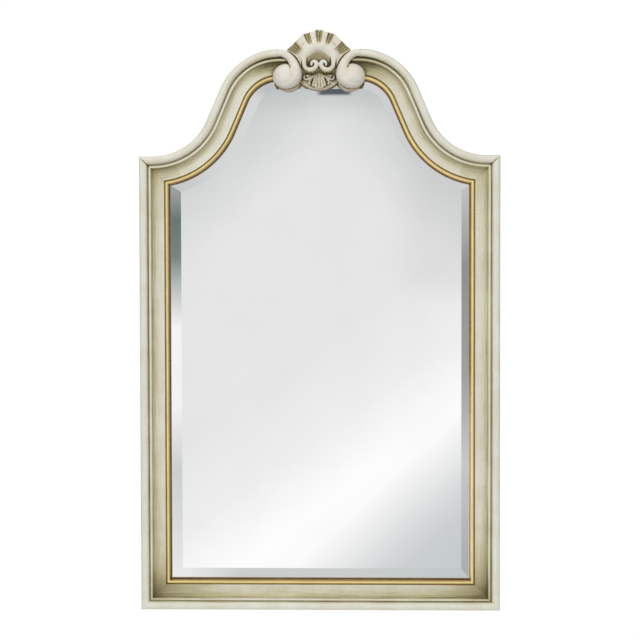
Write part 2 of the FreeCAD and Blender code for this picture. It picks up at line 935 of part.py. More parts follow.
brace_points = [point for corner, way in brace_corners().values() for point in brace_holes(corner, way)]
button_pivots = [pivot for pivot, _ in button_stations()]
crest_screw_points = [(crest_screw_x, crest_screw_z)]
holes = [flat_head_hole(point, brace_thickness, screw_length) for point in brace_points]
holes += [flat_head_hole(point, brace_thickness, screw_length) for point in crown_brace_holes()]
holes += [flat_head_hole(point, strap_thickness, screw_length) for point in strap_holes()]
holes += [flat_head_hole(point, 0, crest_screw_length) for point in crest_screw_points]
button_hole = button_screw_radius + screw_clearance
button_hole_end = screw_length - button_thickness
holes += [disc(pivot, button_hole, -overrun, button_hole_end) for pivot in button_pivots]


def drilled(shape):
    for hole in holes:
        if shape.BoundBox.intersect(hole.BoundBox):
            shape = shape.cut(hole)
    return shape


def seated(shape):
    for seat in crest_seats:
        shape = shape.cut(seat)
    return shape


def members(section):
    """Right stile, right top rail and bottom rail of one section, cut to their mitres."""
    up = (0, 1)
    stile = straight_run(section, (half_width, 0), (half_width, shoulder_height), (-1, 0))
    bottom = straight_run(section, (-half_width, 0), (half_width, 0), up)
    stile = stile.common(zone)
    arch = arch_run(section).cut(zone)
    for end in zones:
        bottom = bottom.cut(end)
    return stile, seated(arch).removeSplitter(), bottom


stile, arch, bottom = members(member_section())
arch = drilled(arch.cut(past_scroll)).removeSplitter()
stile = drilled(stile)
keep("right_stile", stile)
keep("left_stile", mirrored(stile))
keep("top_rail_right", arch)
keep("top_rail_left", mirrored(arch))
keep("bottom_rail", mirrored(drilled(mirrored(drilled(bottom)))))

slip_side, slip_arch, slip_bottom = members(slip_section())
keep("gilt_slip_right", slip_side)
keep("gilt_slip_left", mirrored(slip_side))
keep("gilt_slip_top_right", slip_arch)
keep("gilt_slip_top_left", mirrored(slip_arch))
keep("gilt_slip_bottom", slip_bottom)

# The crest

crest_hole = flat_head_hole((crest_screw_x, crest_screw_z), 0, crest_screw_length)
scroll = large_scroll().cut(crest_hole)
base = slab(base_outline(), crest_seat_height, crest_front)
keep("crest_base", base.cut(crest_hole).cut(mirrored(crest_hole)))
keep("large_scroll_right", scroll)
keep("large_scroll_left", mirrored(scroll))
keep("shell", shell_solid())
curl = small_scroll()
keep("small_scroll_right", curl)
keep("small_scroll_left", mirrored(curl))
keep("palmette", palmette_solid())

# The glazing

plate_edge = panel_outline(glass_inset)
plate_front = panel_outline(glass_inset + bevel_width)
edge_height = glass_back + glass_edge
bevel_wires = [
    chain(plate_edge, lambda point: at(point, edge_height)),
    chain(plate_front, lambda point: at(point, glass_front)),
]
bevel = Part.makeLoft(bevel_wires, True, True)
keep("mirror_plate", joined([slab(plate_edge, glass_back, edge_height), bevel]))
cushion = panel_outline(glass_inset + cushion_inset)
keep("cushion_sheet", slab(cushion, board_thickness, glass_back))
keep("backing_board", slab(panel_outline(rebate_inset + board_side_gap), 0, board_thickness))

packer_top = edge_height + block_rise


def packer(x_low, x_high, z_low, z_high):
    corners = [(x_low, z_low), (x_high, z_low), (x_high, z_high), (x_low, z_high)]
    return slab(corners, board_thickness, packer_top)


block_start = half_width - block_inset
block = packer(block_start, block_start + block_length, rebate_inset, glass_inset)
keep("setting_blocks", group([block, mirrored(block)]))
spacers = []
for z in (spacer_low, shoulder_height - spacer_high_drop):
    spacer = packer(half_width - glass_inset, half_width - rebate_inset, z, z + spacer_length)
    spacers += [spacer, mirrored(spacer)]
keep("edge_spacers", group(spacers))

# Hardware at the back

for name, (corner, way) in brace_corners().items():
    brace = corner_brace(corner, way)
    keep(f"corner_brace_{name}_right", brace)
    keep(f"corner_brace_{name}_left", mirrored(brace))
keep("crown_brace", crown_brace())
brace_screw = flat_head_screw(brace_thickness, screw_length)
keep("brace_screws", copies(brace_screw, both_sides(brace_points) + crown_brace_holes()))

for number, (pivot, way) in enumerate(button_stations(), 1):
    button = turn_button(pivot, way)
    keep(f"turn_button_right_{number}", button)
    keep(f"turn_button_left_{number}", mirrored(button))
keep("turn_button_screws", copies(pan_head_screw(), both_sides(button_pivots)))

strap = hanger_strap()
ring = hanger_ring()
keep("hanger_strap_right", strap)
keep("hanger_strap_left", mirrored(strap))
keep("hanger_ring_right", ring)
keep("hanger_ring_left", mirrored(ring))
keep("hanger_screws", copies(flat_head_screw(strap_thickness, screw_length), both_sides(strap_holes())))
keep("crest_screws", copies(flat_head_screw(0, crest_screw_length), both_sides(crest_screw_points)))

bumper = wall_bumper()
keep("wall_bumper_right", bumper)
keep("wall_bumper_left", mirrored(bumper))

for name, shape in nodes.items():
    box = shape.BoundBox
    print(f"{name}: {len(shape.Solids)} solids, {shape.Volume:.0f} mm3, x {box.XMin:.1f} to {box.XMax:.1f},"
          f" y {box.YMin:.1f} to {box.YMax:.1f}, z {box.ZMin:.1f} to {box.ZMax:.1f}, valid {shape.isValid()}")
    shape.exportStep(f"parts/{name}.step")
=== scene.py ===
import bpy
import bmesh
import math
import numpy as np
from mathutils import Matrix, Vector
from mathutils.bvhtree import BVHTree
from mathutils.interpolate import poly_3d_calc


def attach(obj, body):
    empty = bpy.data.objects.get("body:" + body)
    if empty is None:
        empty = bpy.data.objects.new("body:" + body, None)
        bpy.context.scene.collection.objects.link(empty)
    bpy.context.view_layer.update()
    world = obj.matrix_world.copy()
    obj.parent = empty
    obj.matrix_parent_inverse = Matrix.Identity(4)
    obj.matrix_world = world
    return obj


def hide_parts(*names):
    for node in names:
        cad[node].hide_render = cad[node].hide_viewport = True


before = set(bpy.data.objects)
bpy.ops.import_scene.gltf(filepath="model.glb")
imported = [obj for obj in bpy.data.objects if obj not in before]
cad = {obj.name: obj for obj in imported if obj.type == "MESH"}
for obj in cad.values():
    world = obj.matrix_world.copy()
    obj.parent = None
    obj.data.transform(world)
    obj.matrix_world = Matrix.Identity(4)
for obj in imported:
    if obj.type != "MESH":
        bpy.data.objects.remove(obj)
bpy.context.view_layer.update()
scene = bpy.context.scene
print("frame loaded,", len(cad), "nodes")

# All sizes are in mm and become metres where a mesh is made.
# x runs to the right, z up, and h is the height in front of the frame's flat back.
mm = 0.001


def place(x, z, h):
    return Vector((x * mm, -h * mm, z * mm))


def linear(hexText):
    channels = [int(hexText[i:i + 2], 16) / 255 for i in (1, 3, 5)]
    return [c / 12.92 if c <= 0.04045 else ((c + 0.055) / 1.055) ** 2.4 for c in channels] + [1]


def addNode(tree, kind, links=None, stops=None, span=None, **settings):
    node = tree.nodes.new(kind)
    for name, value in settings.items():
        setattr(node, name, value)
    links = dict(links or {})
    links.update(zip(("From Min", "From Max", "To Min", "To Max"), span or ()))
    for key, value in links.items():
        if isinstance(key, str):  # the first socket of that name which is in use
            socket = next(s for s in node.inputs if s.name == key and s.enabled)
        else:
            socket = node.inputs[key]
        if isinstance(value, bpy.types.Node):
            value = next(s for s in value.outputs if s.enabled)
        if isinstance(value, bpy.types.NodeSocket):
            tree.links.new(value, socket)
        else:
            socket.default_value = linear(value) if isinstance(value, str) else value
    if stops:
        elements = node.color_ramp.elements
        while len(elements) < len(stops):
            elements.new(0.5)
        for element, (position, colour) in zip(elements, stops):
            element.position = position
            element.color = linear(colour) if isinstance(colour, str) else (colour, colour, colour, 1)
    return node


def newMaterial(name):
    material = bpy.data.materials.new(name)
    material.use_nodes = True
    material.node_tree.nodes.clear()
    return material, material.node_tree


def newPiece(name, mesh, materials):
    piece = bpy.data.objects.new(name, mesh)
    scene.collection.objects.link(piece)
    for material in materials:
        mesh.materials.append(material)
    return piece


# Finishes

# Gessoed lime wood brushed with ivory oil paint, then an umber wash wiped back: it stays in the hollows and
# in the brush lines, so the eye sees cream on the high parts and olive brown in the quirks and the cove.
# The same darkening also carries painted shade, where the section turns from the light and under its steps.
ivoryPaint = {
    "washAndPaintedLight": [(0.0, "#DDDCD3"), (0.15, "#D5D2BF"), (0.32, "#C2BB9B"), (0.52, "#A79F7A"), (0.76, "#7C7350"),
             (1.0, "#524931")],
    "carvedWashAndShade": [(0.0, "#DEDAD0"), (0.15, "#D2CAB9"), (0.32, "#C1B696"), (0.52, "#A2976E"),
                   (0.76, "#786D4A"), (1.0, "#4A4026")],
    "acrossWidth": 60.0,
    # how dark it is at each inset in mm: the real wash in the quirk and the cove, and painted shade on the
    # outer bead's edge and underside, a painted shadow of the fillet across the top of the cove, and on the
    # step and the lip beside the gold
    "across": [(0.0, 0.34), (1.0, 0.20), (2.4, 0.08), (4.0, 0.04), (12.0, 0.04), (14.6, 0.10), (16.4, 0.40),
               (17.5, 0.62), (18.7, 0.60), (19.3, 0.14), (20.2, 0.06), (22.2, 0.07), (23.2, 0.30),
               (24.2, 0.46), (26.5, 0.32), (30.0, 0.24), (34.5, 0.15), (39.0, 0.08), (43.5, 0.03),
               (46.9, 0.01), (47.8, 0.06), (48.4, 0.32), (50.0, 0.55), (57.0, 0.66), (60.0, 0.72)],
    # brush lines: bristles mark about 0.4 mm, drawn coarser to show; on the carving per metre, and degrees
    "streakLength": 70.0, "streakWidth": 1.6, "carvedStreaks": (90.0, 600.0, 620.0), "carvedLean": -35,
    "blotch": 45.0, "drift": 190.0, "speck": 2.2, "grit": 0.5,
    "cornerReach": 42.0,  # the inner corners are darker over this many mm
    # a reading from one value to another, and what the wash is multiplied by or gains there
    "streakUneven": (0.3, 0.7, 0.76, 1.2), "driftUneven": (0.35, 0.65, 0.82, 1.2),
    "streakShare": (0.35, 0.7, -0.05, 0.09), "blotchShare": (0.3, 0.7, -0.02, 0.035),
    "speckShare": (0.60, 0.74, 0, 0.23), "cornerShare": (16.0, 25.0, 0.03, 0.56),
    "mitreLine": (0.5, 2.0, 0.55, 0.0), "beadOnly": [(21.0, 19.0, 0.15, 1.0), (3.0, 8.0, 0.15, 1.0)],
    "warm": "#DCCDB6", "warmShare": (0.42, 0.62, 0, 0.13),
    "roughness": (0, 1, 0.46, 0.74), "bumpHeight": 0.2,
}


def paintedFinish(name, isMoulding):
    s = ivoryPaint
    material, tree = newMaterial(name)
    # the wash at each point, with painted shade laid on the crest and on the rails beside it
    washAndPaintedLight = addNode(tree, "ShaderNodeAttribute", attribute_name="washAndPaintedLight").outputs["Fac"]
    spot = addNode(tree, "ShaderNodeTexCoord").outputs["Object"]
    blotch, speck, grit = (
        addNode(tree, "ShaderNodeTexNoise", {"Vector": spot, "Scale": 1000 / s[size], "Detail": detail})
        for size, detail in (("blotch", 3.0), ("speck", 2.0), ("grit", 1.0)))
    if isMoulding:
        across, along, joint, cornerDarkening = (
            addNode(tree, "ShaderNodeAttribute", attribute_name=word).outputs["Fac"]
            for word in ("across", "along", "joint", "cornerDarkening"))
        share = addNode(tree, "ShaderNodeMath", {0: across, 1: s["acrossWidth"]}, operation="DIVIDE")
        total = addNode(tree, "ShaderNodeValToRGB", {"Fac": share},
                        stops=[(u / s["acrossWidth"], v) for u, v in s["across"]])
        brushed = addNode(tree, "ShaderNodeCombineXYZ", {
            "X": addNode(tree, "ShaderNodeMath", {0: along, 1: s["streakLength"]}, operation="DIVIDE"),
            "Y": addNode(tree, "ShaderNodeMath", {0: across, 1: s["streakWidth"]}, operation="DIVIDE")})
        streak = addNode(tree, "ShaderNodeTexNoise", {"Vector": brushed, "Scale": 1.0, "Detail": 4.0})
        drift = addNode(tree, "ShaderNodeTexNoise", {
            "Vector": spot, "Scale": 1000 / s["drift"], "Detail": 1.0})
        for pattern, span in ((streak, s["streakUneven"]), (drift, s["driftUneven"])):
            uneven = addNode(tree, "ShaderNodeMapRange", {"Value": pattern}, span=span)
            total = addNode(tree, "ShaderNodeMath", {0: total, 1: uneven}, operation="MULTIPLY")
        # dark lines in the bead's mitres, and the cove's corners beside them darker
        line = addNode(tree, "ShaderNodeMapRange", {"Value": joint}, span=s["mitreLine"])
        for span in s["beadOnly"]:
            onBead = addNode(tree, "ShaderNodeMapRange", {"Value": across}, span=span)
            line = addNode(tree, "ShaderNodeMath", {0: line, 1: onBead}, operation="MULTIPLY")
        inCove = addNode(tree, "ShaderNodeMapRange", {"Value": across}, span=s["cornerShare"])
        corners = addNode(tree, "ShaderNodeMath", {0: cornerDarkening, 1: inCove}, operation="MULTIPLY")
        for more in (corners, line, washAndPaintedLight):
            total = addNode(tree, "ShaderNodeMath", {0: total, 1: more}, operation="ADD")
    else:
        brushed = addNode(tree, "ShaderNodeMapping", {
            "Vector": spot, "Rotation": (0, math.radians(s["carvedLean"]), 0), "Scale": s["carvedStreaks"]})
        streak = addNode(tree, "ShaderNodeTexNoise", {"Vector": brushed, "Scale": 1.0, "Detail": 3.0})
        total = washAndPaintedLight
    for pattern, span in ((streak, s["streakShare"]), (blotch, s["blotchShare"]), (speck, s["speckShare"])):
        change = addNode(tree, "ShaderNodeMapRange", {"Value": pattern}, span=span)
        total = addNode(tree, "ShaderNodeMath", {0: total, 1: change}, operation="ADD",
                        use_clamp=pattern == speck)  # the whole sum is held to 0 to 1
    colour = addNode(tree, "ShaderNodeValToRGB", {"Fac": total},
                     stops=s["washAndPaintedLight" if isMoulding else "carvedWashAndShade"])
    warmth = addNode(tree, "ShaderNodeMapRange", {"Value": blotch}, span=s["warmShare"])
    tinted = addNode(tree, "ShaderNodeMix", {"Factor": warmth, "A": colour, "B": s["warm"]},
                     data_type="RGBA", blend_type="MULTIPLY")
    rough = addNode(tree, "ShaderNodeMapRange", {"Value": total}, span=s["roughness"])
    relief = addNode(tree, "ShaderNodeMath", {0: streak, 1: grit}, operation="ADD")
    bump = addNode(tree, "ShaderNodeBump", {
        "Height": relief, "Strength": 0.35, "Distance": s["bumpHeight"] * mm})
    shader = addNode(tree, "ShaderNodeBsdfPrincipled", {
        "Base Color": tinted, "Roughness": rough, "Normal": bump, "IOR": 1.48})
    addNode(tree, "ShaderNodeOutputMaterial", {"Surface": shader})
    return material


paintedMoulding = paintedFinish("ivoryPaintOnGessoedMoulding", True)
paintedCarving = paintedFinish("ivoryPaintOnCarvedWood", False)

# Sawn softwood left bare behind the mouldings: straight pale and darker grain bands, dull and a little rough.
sawnPine = {"grain": [(0.32, "#A5794A"), (0.5, "#BE9A69"), (0.68, "#CDAF82")], "grainWidth": 3.2,
            "grainLength": 160.0, "sawMarks": 18.0, "bumpHeight": 0.3}
barePine, tree = newMaterial("barePineSawn")
along, across = (addNode(tree, "ShaderNodeAttribute", attribute_name=word).outputs["Fac"]
                 for word in ("along", "across"))
grainSpot = addNode(tree, "ShaderNodeCombineXYZ", {
    "X": addNode(tree, "ShaderNodeMath", {0: along, 1: sawnPine["grainLength"]}, operation="DIVIDE"),
    "Y": addNode(tree, "ShaderNodeMath", {0: across, 1: sawnPine["grainWidth"]}, operation="DIVIDE")})
grain = addNode(tree, "ShaderNodeTexNoise", {
    "Vector": grainSpot, "Scale": 1.0, "Detail": 5.0, "Distortion": 0.3})
grainColour = addNode(tree, "ShaderNodeValToRGB", {"Fac": grain}, stops=sawnPine["grain"])
sawMarks = addNode(tree, "ShaderNodeTexWave", {
    "Vector": grainSpot, "Scale": sawnPine["sawMarks"], "Distortion": 2.0}, bands_direction="X")
grainBump = addNode(tree, "ShaderNodeBump", {
    "Height": addNode(tree, "ShaderNodeMath", {0: grain, 1: sawMarks}, operation="ADD"),
    "Strength": 0.25, "Distance": sawnPine["bumpHeight"] * mm})
pine = addNode(tree, "ShaderNodeBsdfPrincipled", {
    "Base Color": grainColour, "Roughness": 0.78, "Normal": grainBump, "IOR": 1.5})
addNode(tree, "ShaderNodeOutputMaterial", {"Surface": pine})

# Water gilding over red bole, rubbed and toned: a warm broken metal with umber lines along both its sides,
# which are partly painted shade, and a painted highlight along the bead's ridge.
gilding = {
    # the bead's colour by inset: a painted highlight on the ridge, painted shade down the flank that turns to
    # the glass, and dark lines at both sides, partly umber and partly painted shade
    "across": [(48.3, "#94804A"), (49.4, "#AE9256"), (50.3, "#D2AC5E"), (51.3, "#F4D07C"), (52.3, "#FFEFAE"),
               (54.2, "#FFE99E"), (55.3, "#EFCB7C"), (56.2, "#CDA25C"), (56.9, "#94703C"), (57.4, "#6E5128")],
    "rubLength": 9.0, "rubWidth": 1.6, "bole": "#8A4F33", "paintedHighlight": "#F7DFB4", "bumpHeight": 0.3,
    # a reading from one value to another, and what it gives there
    "rubbed": (0.58, 0.72, 0, 0.40), "toned": (0.35, 0.65, 0.90, 1), "roughness": (0.3, 0.7, 0.28, 0.50),
    "metal": (0, 0.40, 0.7, 0.2),  # less of it where the gold is rubbed
}
gold, tree = newMaterial("waterGildedBead")
across, along, paintedHighlightShare = (addNode(tree, "ShaderNodeAttribute", attribute_name=word).outputs["Fac"]
                          for word in ("across", "along", "washAndPaintedLight"))
first = gilding["across"][0][0]
last = gilding["across"][-1][0]
goldShare = addNode(tree, "ShaderNodeMapRange", {"Value": across}, span=(first, last))
goldWithPaintedLight = addNode(tree, "ShaderNodeValToRGB", {"Fac": goldShare},
                     stops=[((u - first) / (last - first), c) for u, c in gilding["across"]])
rubSpot = addNode(tree, "ShaderNodeCombineXYZ", {
    "X": addNode(tree, "ShaderNodeMath", {0: along, 1: gilding["rubLength"]}, operation="DIVIDE"),
    "Y": addNode(tree, "ShaderNodeMath", {0: across, 1: gilding["rubWidth"]}, operation="DIVIDE")})
rub = addNode(tree, "ShaderNodeTexNoise", {"Vector": rubSpot, "Scale": 1.0, "Detail": 4.0, "Roughness": 0.6})
slow = addNode(tree, "ShaderNodeTexNoise", {"Vector": rubSpot, "Scale": 0.12, "Detail": 2.0})
rubbed = addNode(tree, "ShaderNodeMapRange", {"Value": rub}, span=gilding["rubbed"])
toned = addNode(tree, "ShaderNodeMapRange", {"Value": slow}, span=gilding["toned"])
# a painted highlight laid on low on the right slip's inner side, then the bole where the gold is rubbed
for amount, laidOn in ((paintedHighlightShare, gilding["paintedHighlight"]), (rubbed, gilding["bole"])):
    goldWithPaintedLight = addNode(tree, "ShaderNodeMix", {"Factor": amount, "A": goldWithPaintedLight, "B": laidOn},
                         data_type="RGBA")
goldToned = addNode(tree, "ShaderNodeVectorMath", {0: goldWithPaintedLight, "Scale": toned}, operation="SCALE")
goldRough = addNode(tree, "ShaderNodeMapRange", {"Value": rub}, span=gilding["roughness"])
goldMetal = addNode(tree, "ShaderNodeMapRange", {"Value": rubbed}, span=gilding["metal"])
goldBump = addNode(tree, "ShaderNodeBump", {
    "Height": rub, "Strength": 0.3, "Distance": gilding["bumpHeight"] * mm})
leaf = addNode(tree, "ShaderNodeBsdfPrincipled", {
    "Base Color": goldToned, "Roughness": goldRough, "Metallic": goldMetal, "Normal": goldBump})
addNode(tree, "ShaderNodeOutputMaterial", {"Surface": leaf})

# Tempered hardboard, pressed: brown fibre mottled at two scales, with a low sheen from the platen.
pressedBoard = {"fibre": 420.0, "fibreShare": 0.75, "cloud": 11.0, "cloudShare": 0.25, "bumpHeight": 0.2,
                "mottle": [(0.34, "#553A24"), (0.5, "#76543A"), (0.66, "#946E4C")]}
finishes = {}
finishes["pressedHardboard"], tree = newMaterial("pressedHardboard")
spot = addNode(tree, "ShaderNodeTexCoord").outputs["Object"]
fibre = addNode(tree, "ShaderNodeTexNoise", {"Vector": spot, "Scale": pressedBoard["fibre"], "Detail": 5.0})
cloud = addNode(tree, "ShaderNodeTexNoise", {"Vector": spot, "Scale": pressedBoard["cloud"], "Detail": 2.0})
mottle = addNode(tree, "ShaderNodeMath", {
    0: addNode(tree, "ShaderNodeMath", {0: fibre, 1: pressedBoard["fibreShare"]}, operation="MULTIPLY"),
    1: addNode(tree, "ShaderNodeMath", {0: cloud, 1: pressedBoard["cloudShare"]}, operation="MULTIPLY")},
    operation="ADD")
boardColour = addNode(tree, "ShaderNodeValToRGB", {"Fac": mottle}, stops=pressedBoard["mottle"])
boardBump = addNode(tree, "ShaderNodeBump", {
    "Height": fibre, "Strength": 0.4, "Distance": pressedBoard["bumpHeight"] * mm})
board = addNode(tree, "ShaderNodeBsdfPrincipled", {
    "Base Color": boardColour, "Roughness": 0.55, "Normal": boardBump, "IOR": 1.5})
addNode(tree, "ShaderNodeOutputMaterial", {"Surface": board})

# Finishes of one mottle each: two colours, the mottle's scale and detail, the bump and how the surface shines
mottled = {
    # Float glass silvered on its back: a faintly cool mirror, with a trace of dust that hardly dims it.
    "silveredFloatGlass": {"mottle": [(0.3, "#F6F5F5"), (0.7, "#F9F8F8")], "scale": 9.0, "detail": 3.0,
                           "shine": {"Metallic": 1.0, "Roughness": 0.012}},
    # Grey wool felt, pressed: matt, with a soft nap and flecks of lighter fibre.
    "pressedGreyFelt": {"mottle": [(0.35, "#55575A"), (0.65, "#8B8D90")], "scale": 900.0, "detail": 4.0,
                        "shine": {"Roughness": 0.95, "Sheen Weight": 0.35, "IOR": 1.45}},
    # Moulded black rubber: dark, matt, with a bloom that lightens it in clouds.
    "mouldedBlackRubber": {"mottle": [(0.35, "#1D1D1E"), (0.7, "#353536")], "scale": 240.0, "detail": 4.0,
                           "bumpStrength": 0.2, "bumpHeight": 0.1, "shine": {"Roughness": 0.62, "IOR": 1.52}},
    # Limewashed boards, rubbed flat: pale and matt, so that the floor stays quiet under the mirror.
    "paleMattFloor": {"mottle": [(0.3, "#EFEEEA"), (0.7, "#F4F3F0")], "scale": 60.0, "detail": 3.0,
                      "shine": {"Roughness": 0.85}},
}
for name, look in mottled.items():
    finishes[name], tree = newMaterial(name)
    mottle = addNode(tree, "ShaderNodeTexNoise", {
        "Vector": addNode(tree, "ShaderNodeTexCoord").outputs["Object"], "Scale": look["scale"],
        "Detail": look["detail"]})
    shine = dict(look["shine"])
    shine["Base Color"] = addNode(tree, "ShaderNodeValToRGB", {"Fac": mottle}, stops=look["mottle"])
    if "bumpHeight" in look:
        shine["Normal"] = addNode(tree, "ShaderNodeBump", {
            "Height": mottle, "Strength": look["bumpStrength"], "Distance": look["bumpHeight"] * mm})
    surface = addNode(tree, "ShaderNodeBsdfPrincipled", shine)
    addNode(tree, "ShaderNodeOutputMaterial", {"Surface": surface})

# Hardware metals: zinc plate is bluish with a cloudy spangle, nickel plate warmer and brighter, and the
# stamped brass is yellow with brown tarnish in patches. Roughness clouds break the highlights of each.
hardware = {  # bright, dull, size of the clouds, smoothest, roughest
    "zincPlatedSteel": ("#B9BDC1", "#9BA0A6", 6.0, 0.30, 0.48),
    "nickelPlatedSteel": ("#CBC6BD", "#AFA99E", 8.0, 0.18, 0.34),
    "stampedBrass": ("#CDA75C", "#8E6A35", 5.0, 0.26, 0.46),
}
scratches = {"scale": 2400.0, "bumpHeight": 0.1}
for name, (bright, dull, cloudSize, smoothest, roughest) in hardware.items():
    finishes[name], tree = newMaterial(name)
    spot = addNode(tree, "ShaderNodeTexCoord").outputs["Object"]
    cloud = addNode(tree, "ShaderNodeTexNoise", {"Vector": spot, "Scale": 1000 / cloudSize, "Detail": 4.0})
    scratch = addNode(tree, "ShaderNodeTexNoise", {
        "Vector": spot, "Scale": scratches["scale"], "Detail": 2.0})
    metalColour = addNode(tree, "ShaderNodeValToRGB", {"Fac": cloud}, stops=[(0.36, dull), (0.58, bright)])
    metalRough = addNode(tree, "ShaderNodeMapRange", {"Value": cloud}, span=(0.3, 0.7, roughest, smoothest))
    metalBump = addNode(tree, "ShaderNodeBump", {
        "Height": scratch, "Strength": 0.12, "Distance": scratches["bumpHeight"] * mm})
    metalShader = addNode(tree, "ShaderNodeBsdfPrincipled", {
        "Base Color": metalColour, "Metallic": 1.0, "Roughness": metalRough, "Normal": metalBump})
    addNode(tree, "ShaderNodeOutputMaterial", {"Surface": metalShader})
print("finishes made,", len(bpy.data.materials), "materials")

# The mouldings: one section drawn as the cutter leaves it, with small rounds where paint softens its corners

arch = {
    "halfWidth": 355.0, "shoulder": 897.0, "top": 1105.4,
    "hollow": (328.8, 1015.0), "hollowRadius": 118.0,
    "crown": (78.4, 978.8), "crownRadius": 126.6,
}
crossing = (arch["hollow"][0] - arch["crown"][0], arch["hollow"][1] - arch["crown"][1])
touch = math.atan2(crossing[1], crossing[0]) + math.acos(
    (arch["hollowRadius"] + arch["crownRadius"]) / math.hypot(*crossing))

outerBead = {"half": 8.2, "springs": 27.9, "rise": 8.1}
bead = [(outerBead["half"] - outerBead["half"] * math.cos(math.pi * k / 18),
         outerBead["springs"] + outerBead["rise"] * math.sin(math.pi * k / 18)) for k in range(19)]
memberSection = {  # corners: distance in from the outer edge, height, radius, finish of the face that follows
    "corners": [(0, 0, 0.8, 0)] + [(u, h, 0, 0) for u, h in bead] + [
        (17.5, 27.9, 0, 0), (18.9, 27.9, 0.3, 0), (18.9, 31.0, 0.7, 0), (23.4, 31.0, 0.6, 0),
        (23.4, 28.7, 0.3, 0), (24.8, 25.8, 0, 0), (26.6, 23.3, 0, 0), (28.4, 21.6, 0, 0), (30.2, 20.4, 0, 0),
        (32.0, 19.8, 0, 0), (34.0, 19.5, 0, 0), (36.0, 19.4, 0, 0), (38.0, 19.6, 0, 0), (40.0, 19.9, 0, 0),
        (42.0, 20.4, 0, 0), (44.0, 21.0, 0, 0), (46.0, 21.7, 0, 0), (46.9, 22.0, 0, 0), (48.2, 22.0, 0.4, 0),
        (48.2, 17.0, 0, 0), (55.8, 17.0, 0.3, 0), (55.8, 10.0, 0.3, 1), (52.0, 10.0, 0.2, 1),
        (52.0, 0, 0.6, 1)],
}
# the gold bead rises to its ridge and rolls over to the glass
goldRoll = {"ridge": 53.4, "outside": 3.4, "springs": 18.3, "rise": 3.5, "inside": 3.5, "foot": 13.2,
            "fall": 8.6}
goldBead = [(goldRoll["ridge"] - goldRoll["outside"] * math.cos(math.pi * k / 14),
             goldRoll["springs"] + goldRoll["rise"] * math.sin(math.pi * k / 14)) for k in range(8)]
goldBead += [(goldRoll["ridge"] + goldRoll["inside"] * math.sin(math.pi * k / 16),
              goldRoll["foot"] + goldRoll["fall"] * math.cos(math.pi * k / 16)) for k in range(1, 9)]
slipSection = {
    "corners": [(48.35, 17.05, 0, 0), (48.35, 18.3, 0.2, 0)] + [(u, h, 0, 0) for u, h in goldBead] + [
        (56.9, 12.4, 0, 0), (55.9, 12.4, 0, 0), (55.9, 17.05, 0, 0)],
}
mitreGroove = 0.3
hollowFoot = 250  # degrees round the hollow's circle, past the corner of the plate too
squareToMitre = 0.707  # a point's distance from the mitre, for its distance along the edge
filledFoot = 3.0  # the foot's mitres are filled and painted over
cornerShares = {"head": 0.4, "footLeft": 0.9, "footRight": 0.75}  # how much darker each corner is
brushStart = {"bottom": 2000, "arch": 4000, "mirrored": 7000}  # no two members share their brush lines


def roundedSection(corners):
    points = []
    for k, (u, h, radius, finish) in enumerate(corners):
        if not radius:
            points.append((u, h, finish))
            continue
        here = Vector((u, h))
        back = Vector(corners[k - 1][:2]) - here
        on = Vector(corners[(k + 1) % len(corners)][:2]) - here
        start = here + back.normalized() * min(radius, back.length * 0.45)
        end = here + on.normalized() * min(radius, on.length * 0.45)
        for step in range(5):
            t = step / 4
            p = start * (1 - t) ** 2 + here * 2 * t * (1 - t) + end * t ** 2
            points.append((p.x, p.y, finish if step > 1 else corners[k - 1][3]))
    return points


def shoulderCorner(u):
    x = arch["halfWidth"] - u
    hx, hz = arch["hollow"]
    if x >= hx:
        return x, arch["shoulder"] - u
    return x, hz - math.sqrt((arch["hollowRadius"] + u) ** 2 - (hx - x) ** 2)


def nearness(distance):
    return math.exp(-max(distance, 0) / ivoryPaint["cornerReach"])


# each run gives, for a station and an inset u: x, z, length along the member, distance from its mitre and how
# much darker the corner makes it there
def stileRun(share, u):
    top = shoulderCorner(u)[1]
    z = u + (top - u) * share
    foot, head = (z - u) * squareToMitre, (top - z) * squareToMitre
    joint = min(foot + filledFoot, head)
    return arch["halfWidth"] - u, z, z, joint, nearness(foot) + cornerShares["head"] * nearness(head)


def bottomRun(share, u):
    end = arch["halfWidth"] - u
    x = -end + 2 * end * share
    corner = (end - abs(x)) * squareToMitre
    washAndPaintedLight = cornerShares["footLeft" if x < 0 else "footRight"] * nearness(corner)
    return x, u, x + brushStart["bottom"], corner + filledFoot, washAndPaintedLight


def archRun(station, u):
    part, t, along = station
    hx, hz = arch["hollow"]
    cx, cz = arch["crown"]
    outer = arch["hollowRadius"] + u
    inner = arch["crownRadius"] - u
    hollowEnd = (hx - outer * math.cos(touch), hz - outer * math.sin(touch))
    crownStart = (cx + inner * math.cos(touch), cz + inner * math.sin(touch))
    joint = 100
    if part == 0:  # shoulder flat and the foot of the hollow
        corner = shoulderCorner(u)[0]
        x = corner + (hx + outer * math.cos(math.radians(hollowFoot)) - corner) * t
        z = arch["shoulder"] - u if x >= hx else hz - math.sqrt(outer ** 2 - (hx - x) ** 2)
        joint = (corner - x) * squareToMitre
    elif part == 1:
        angle = math.radians(hollowFoot) + (touch + math.pi - math.radians(hollowFoot)) * t
        x, z = hx + outer * math.cos(angle), hz + outer * math.sin(angle)
    elif part == 2:
        x, z = (a + (b - a) * t for a, b in zip(hollowEnd, crownStart))
    elif part == 3:
        angle = touch + (math.pi / 2 - touch) * t
        x, z = cx + inner * math.cos(angle), cz + inner * math.sin(angle)
    else:
        x, z = cx * (1 - t), cz + inner
    washAndPaintedLight = cornerShares["head"] * nearness(joint) if part < 2 else 0
    return x, z, along + brushStart["arch"], joint, washAndPaintedLight


